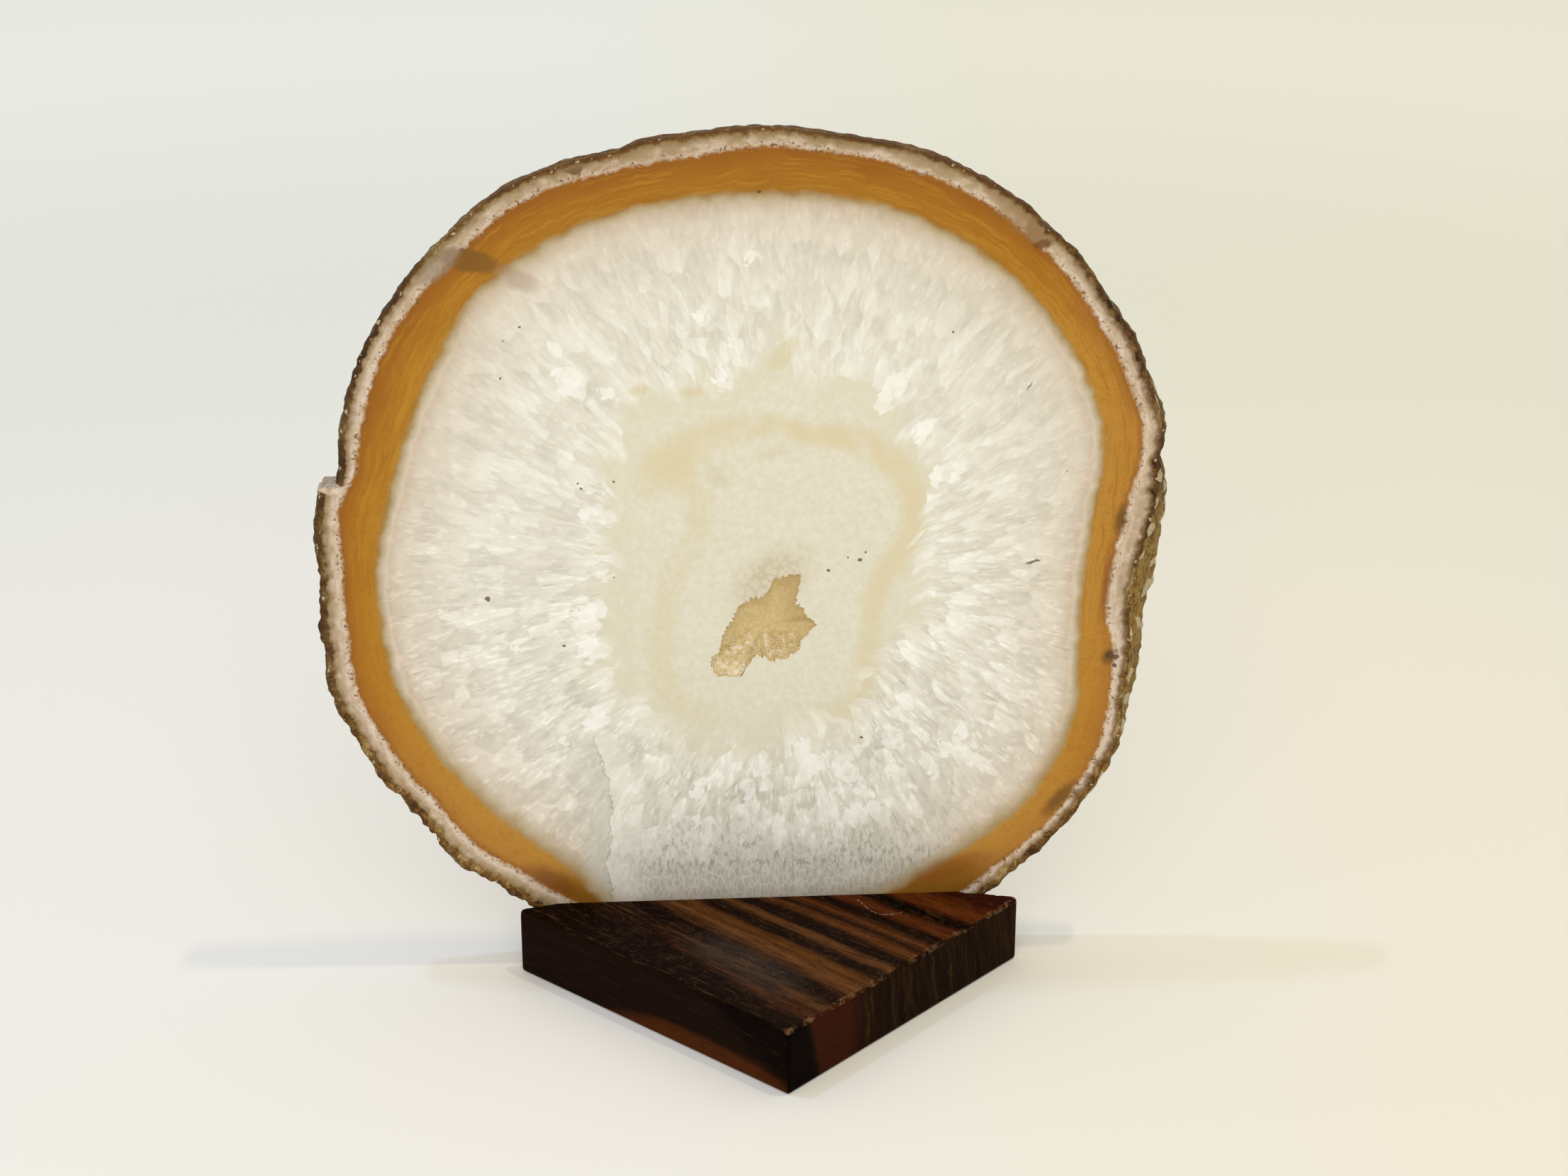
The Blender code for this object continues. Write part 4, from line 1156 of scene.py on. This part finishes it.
def make_block(materials):
    bevel = BLOCK_EDGE_BEVEL
    top = BLOCK_THICKNESS
    middle = np.array((BLOCK_FRONT_CORNER + BLOCK_REAR_CORNER) / 2)
    skin = RingSkin(["edge"])

    def section(inset, z, edge):
        """A ring of the block's skin, worn where it is near the top edge."""
        places = block_outline(SKIN_STEP, inset)
        points = np.column_stack([places, np.full(len(places), z)])
        near_top = max(0.0, 1 - (top - z) / WEAR_REACH) * max(0.0, 1 - inset / WEAR_REACH)
        worn = 0.0
        for length, offset, least in WEAR:
            worn = worn + np.maximum(0.0, noise_at(points, length, offset) - least) * WEAR_DEPTH
        places = places + unit(middle - places) * (worn * near_top)[:, None]
        skin.ring(np.column_stack([places, z - worn * near_top * 0.5]), 0, edge=edge)

    quarter = [math.radians(90 * k / BEVEL_STEPS) for k in range(BEVEL_STEPS + 1)]
    section(bevel + 1.0, 0.0, AT_BOTTOM)
    for turn in quarter:
        section(bevel * (1 - math.sin(turn)), bevel * (1 - math.cos(turn)), AT_BOTTOM)
    for z in np.linspace(bevel, top - bevel, 14)[1:-1]:
        section(0.0, z, top - z)
    for turn in quarter:
        section(bevel * (1 - math.cos(turn)), top - bevel * (1 - math.sin(turn)), ON_TOP_EDGE)
    for inset in (0.8, 1.2, 2.0, 3.0):
        section(inset, top, inset)
    block = skin.build("striped_block", materials)
    settle_mesh(block, WOOD_SHARP)

    bm = bmesh.new()
    centre = Vector((0, FRONT_Y + THICKNESS / 2, top - GROOVE_DEPTH + CUTTER_HEIGHT / 2)) * MM
    size = Vector((CUTTER_LENGTH, THICKNESS + 2 * CLEARANCE, CUTTER_HEIGHT)) * MM
    bmesh.ops.create_cube(bm, size=1.0, matrix=Matrix.Translation(centre) @ Matrix.Diagonal((*size, 1.0)))
    cutter = add_bmesh("groove_cutter", bm)
    cut = block.modifiers.new("groove", "BOOLEAN")
    cut.operation = "DIFFERENCE"
    cut.solver = "EXACT"
    cut.object = cutter
    graph = bpy.context.evaluated_depsgraph_get()
    grooved = bpy.data.meshes.new_from_object(block.evaluated_get(graph))
    block.modifiers.clear()
    block.data = grooved
    bpy.data.objects.remove(cutter)
    settle_mesh(block, WOOD_SHARP)

    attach(block, "root")
    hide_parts("wood_block")


# Stripes of the wood: (distance across the grain, colour)
WOOD_STRIPES = [
    (-18.0, "160B06"), (-13.5, "1A0D07"), (-11.4, "442612"), (-9.6, "30190C"), (-8.2, "52341C"),
    (-5.6, "1E0E08"), (-3.2, "170B07"), (-1.6, "44240F"), (0.8, "66401F"), (2.2, "4E2C12"), (3.8, "5E3816"),
    (5.8, "170B06"), (7.6, "1E0F07"), (9.2, "56341A"), (10.3, "5A371A"), (11.4, "180C06"), (14.4, "1C0E07"),
    (16.2, "5A3414"), (17.4, "4E2A10"), (18.6, "1C0E06"), (20.4, "5A3012"), (22.0, "1A0C05"),
    (24.2, "120502"), (25.8, "5A2A0E"), (27.6, "4A200A"), (29.0, "0C0402"), (31.2, "080301"),
    (32.8, "50240A"), (35.4, "5E2E0C"), (37.8, "461E0A"), (39.6, "340F06"), (46.0, "301408"),
]


def wood_material():
    sh = Shader("striped_wood")
    grain = math.sqrt(0.5)
    along = sh.vector("DOT_PRODUCT", sh.place, (grain, -grain, 0), output=1)
    across = sh.vector("DOT_PRODUCT", sh.place, (grain, grain, 0), output=1)
    z = sh.parts(sh.place)[2]

    def grained(along_share, across_share):
        """Places squeezed along the grain and across it, for noise that is stretched."""
        return sh.vector("MULTIPLY", sh.combine(along, across, z), (along_share, across_share, across_share))

    # The layers fan out a little from the right face, lean a little with depth and wander.
    fan = sh.times(sh.multiply_add(across, -0.0037, 0.052), sh.minus(along, 21.5))
    layer = sh.plus(across, fan)
    layer = sh.multiply_add(sh.minus(BLOCK_THICKNESS, z), -0.12, layer)
    bend = sh.minus(sh.noise(grained(0.3, 1), 0.09, 2), 0.5)
    ripple = sh.minus(sh.noise(grained(0.08, 1), 0.5, 3), 0.5)
    layer = sh.multiply_add(bend, 3, layer)
    layer = sh.multiply_add(ripple, 2, layer)
    low, high = WOOD_STRIPES[0][0], WOOD_STRIPES[-1][0]
    span = sh.ramp(layer, low, high, kind="LINEAR")
    top = sh.colours(span, *[((at - low) / (high - low), code) for at, code in WOOD_STRIPES])
    lumps = sh.noise(grained(0.16, 1.3), 1, 3, 0.6)
    rear = sh.overlap((along, 4, -18), (layer, 2, -5), (lumps, 0.4, 0.55, 0.4, 0.9))
    top = sh.tint(top, rear, "120704")
    haze = sh.overlap((layer, -14, -9), (layer, 1, -5), (along, -14, -4), (along, 20, 8))
    top = sh.tint(top, haze, "3C322C", 0.6)
    top = sh.shade(top, lumps, 0.5, 0.64, "120804", 0.5)
    top = sh.shade(top, lumps, 0.44, 0.3, "5E3A20", 0.35)

    # Long-grain sides: dark, with a redder tongue low on the left face
    normal = sh.add("NewGeometry", output="Normal")
    curve = sh.math("POWER", sh.math("DIVIDE", sh.minus(along, 8), 14), 2)
    height = sh.multiply_add(ripple, 5, sh.plus(z, curve))
    tongue = sh.ramp(height, 5, 2.2)
    side = sh.mix(tongue, rgb("1A0D07"), rgb("4A240C"))
    side = sh.shade(side, sh.multiply_add(z, 1.6, along), 19, 30, "080302", 0.85)

    # End grain: black by the front corner, then dark red, then olive-black streaks
    streaks = sh.noise(sh.combine(sh.times(layer, 0.9), 0, sh.times(z, 0.07)), 1, 3, 0.6)
    end_grain = sh.colours(streaks, (0.35, "140904"), (0.5, "1E0F05"), (0.62, "2A1A09"), (0.75, "3A280F"))
    red_edge = sh.multiply_add(z, 0.25, across)
    red = sh.overlap((red_edge, -10.5, -8), (across, 3, -3))
    end_grain = sh.tint(end_grain, red, "3A1707", 0.85)
    end_grain = sh.shade(end_grain, red_edge, -8.5, -11, "080302")
    on_end = sh.absolute(sh.vector("DOT_PRODUCT", normal, (grain, -grain, 0), output=1))
    side = sh.mix(sh.ramp(on_end, 0.4, 0.6), side, end_grain)
    upward = sh.parts(normal)[2]
    colour = sh.mix(sh.ramp(upward, 0.55, 0.9), side, top)

    # Fibres and pores
    fibre = sh.noise(grained(0.16, 2.6), 1, 4, 0.65)
    colour = sh.shade(colour, fibre, 0.5, 0.68, "100804", 0.45)
    colour = sh.shade(colour, fibre, 0.44, 0.3, "4C2C16", 0.2)
    pores = sh.cells(grained(0.18, 1.7))["Distance"]
    pore = sh.ramp(pores, 0.2, 0.1)
    colour = sh.tint(colour, pore, "0C0503", 0.5)
    scuffs = sh.minus(sh.noise(grained(0.35, 0.35), 1, 3, 0.6), 0.5)
    scuffs = sh.ramp(sh.absolute(scuffs), 0.006, 0.001, 0, 0.25)
    colour = sh.tint(colour, sh.times(scuffs, sh.ramp(upward, 0.9, 1)), "8A6A50")

    # The sawn edge over the end grain is worn light
    edge = sh.attribute("edge")
    broad = sh.noise(sh.place, 0.22, 2)
    wander = sh.swing(sh.noise(sh.place, 0.8, 3, 0.7), 1.6)
    worn = sh.overlap((sh.plus(edge, wander), 0.3, 0.05), (along, 22, 22.9), (broad, 0.4, 0.6))
    colour = sh.tint(colour, worn, "7C5C3C", 0.6)
    relief = sh.minus(fibre, sh.times(pore, 0.5))
    return sh.finish(
        Base_Color=colour,
        Roughness=sh.ramp(fibre, 0.3, 0.7, 0.42, 0.55),
        Specular_IOR_Level=0.012,
        Normal=sh.bump(relief, 0.00012, 0.7),
    )


GLUE_RADIUS = 0.07
GLUE_LIFT = 0.6
GLUE_PATH = [(19.6, 17.0), (21.1, 13.3), (22.8, 11.0), (24.9, 10.6), (27.1, 11.3)]


def make_glue_thread():
    """The dried thread of glue on the block's top."""
    curve = bpy.data.curves.new("glue_thread", "CURVE")
    curve.dimensions = "3D"
    curve.bevel_depth = GLUE_RADIUS * MM
    curve.bevel_resolution = 3
    curve.use_fill_caps = True
    spline = curve.splines.new("NURBS")
    spline.points.add(len(GLUE_PATH) - 1)
    for point, (x, y) in zip(spline.points, GLUE_PATH):
        point.co = (*(Vector((x, y, BLOCK_THICKNESS + GLUE_RADIUS * GLUE_LIFT)) * MM), 1.0)
    spline.use_endpoint_u = True
    spline.order_u = 3
    thread = add_object("glue_thread", curve)
    sh = Shader("dried_glue")
    speckle = sh.noise(sh.place, 1.6, 2)
    colour = sh.colours(speckle, (0.46, "2C1C10"), (0.54, "9A8468"))
    curve.materials.append(sh.finish(Base_Color=colour, Roughness=0.3))
    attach(thread, "root")


# Surroundings, in metres

FLOOR_RADIUS = 6.0
LIGHT_TARGET = Vector((0.0, 0.02, 0.07))
# (name, place, size, watts, colour)
LIGHTS = [
    ("front_fill", (-0.1, -1.3, 1.0), (1.2, 1.0), 8.5, "FFFDFA"),
    ("cool_ceiling", (-0.354, 0.108, 1.1), (0.05, 0.03), 1.8, "9CC4FF"),
    ("warm_ceiling", (0.255, -0.012, 1.1), (0.05, 0.03), 1.6, "FFEFC4"),
]
SKY_COLOUR = "F9F9F8"
SKY_STRENGTH = 0.76
CAMERA_PLACE = (-0.0241, -0.4592, 0.2662)
CAMERA_TILT = math.radians(68.07)
CAMERA_TURN = math.radians(-3.64)
CAMERA_LENS_MM = 67.62
CAMERA_SENSOR_MM = 36.0


def make_floor():
    bm = bmesh.new()
    bmesh.ops.create_circle(bm, cap_ends=True, segments=96, radius=FLOOR_RADIUS)
    floor = add_bmesh("floor", bm)
    sh = Shader("plain_floor")
    radius = sh.vector("LENGTH", sh.place, output=1)
    colour = sh.mix(sh.ramp(radius, 190, 380), rgb("ECE8DF"), rgb("E8E8DD"))
    colour = sh.shade(colour, radius, 400, 950, "FCFCF3")
    warm = sh.ramp(sh.parts(sh.place)[0], -60, 160)
    colour = sh.mix(warm, colour, rgb("FFFBEE"), "MULTIPLY")
    floor.data.materials.append(sh.finish(Base_Color=colour, Roughness=0.9))


def make_lights():
    for name, place, size, watts, colour in LIGHTS:
        light = bpy.data.lights.new(name, "AREA")
        light.shape = "RECTANGLE"
        light.size, light.size_y = size
        light.energy = watts
        light.color = rgb(colour)[:3]
        obj = add_object(name, light)
        obj.location = place
        obj.rotation_euler = (LIGHT_TARGET - Vector(place)).to_track_quat("-Z", "Y").to_euler()
    world = bpy.data.worlds.new("studio")
    world.use_nodes = True
    sky = world.node_tree.nodes["Background"].inputs
    sky["Color"].default_value = rgb(SKY_COLOUR)
    sky["Strength"].default_value = SKY_STRENGTH
    bpy.context.scene.world = world


def make_camera():
    camera = bpy.data.cameras.new("camera")
    camera.lens = CAMERA_LENS_MM
    camera.sensor_width = CAMERA_SENSOR_MM
    obj = add_object("camera", camera)
    obj.location = CAMERA_PLACE
    obj.rotation_euler = (CAMERA_TILT, 0.0, CAMERA_TURN)
    bpy.context.scene.camera = obj


bpy.context.scene.view_settings.view_transform = "Standard"
make_camera()
make_stone([agate_material(), rind_material(), hollow_material()])
make_crust([crust_material()])
make_block([wood_material()])
make_glue_thread()
make_floor()
make_lights()
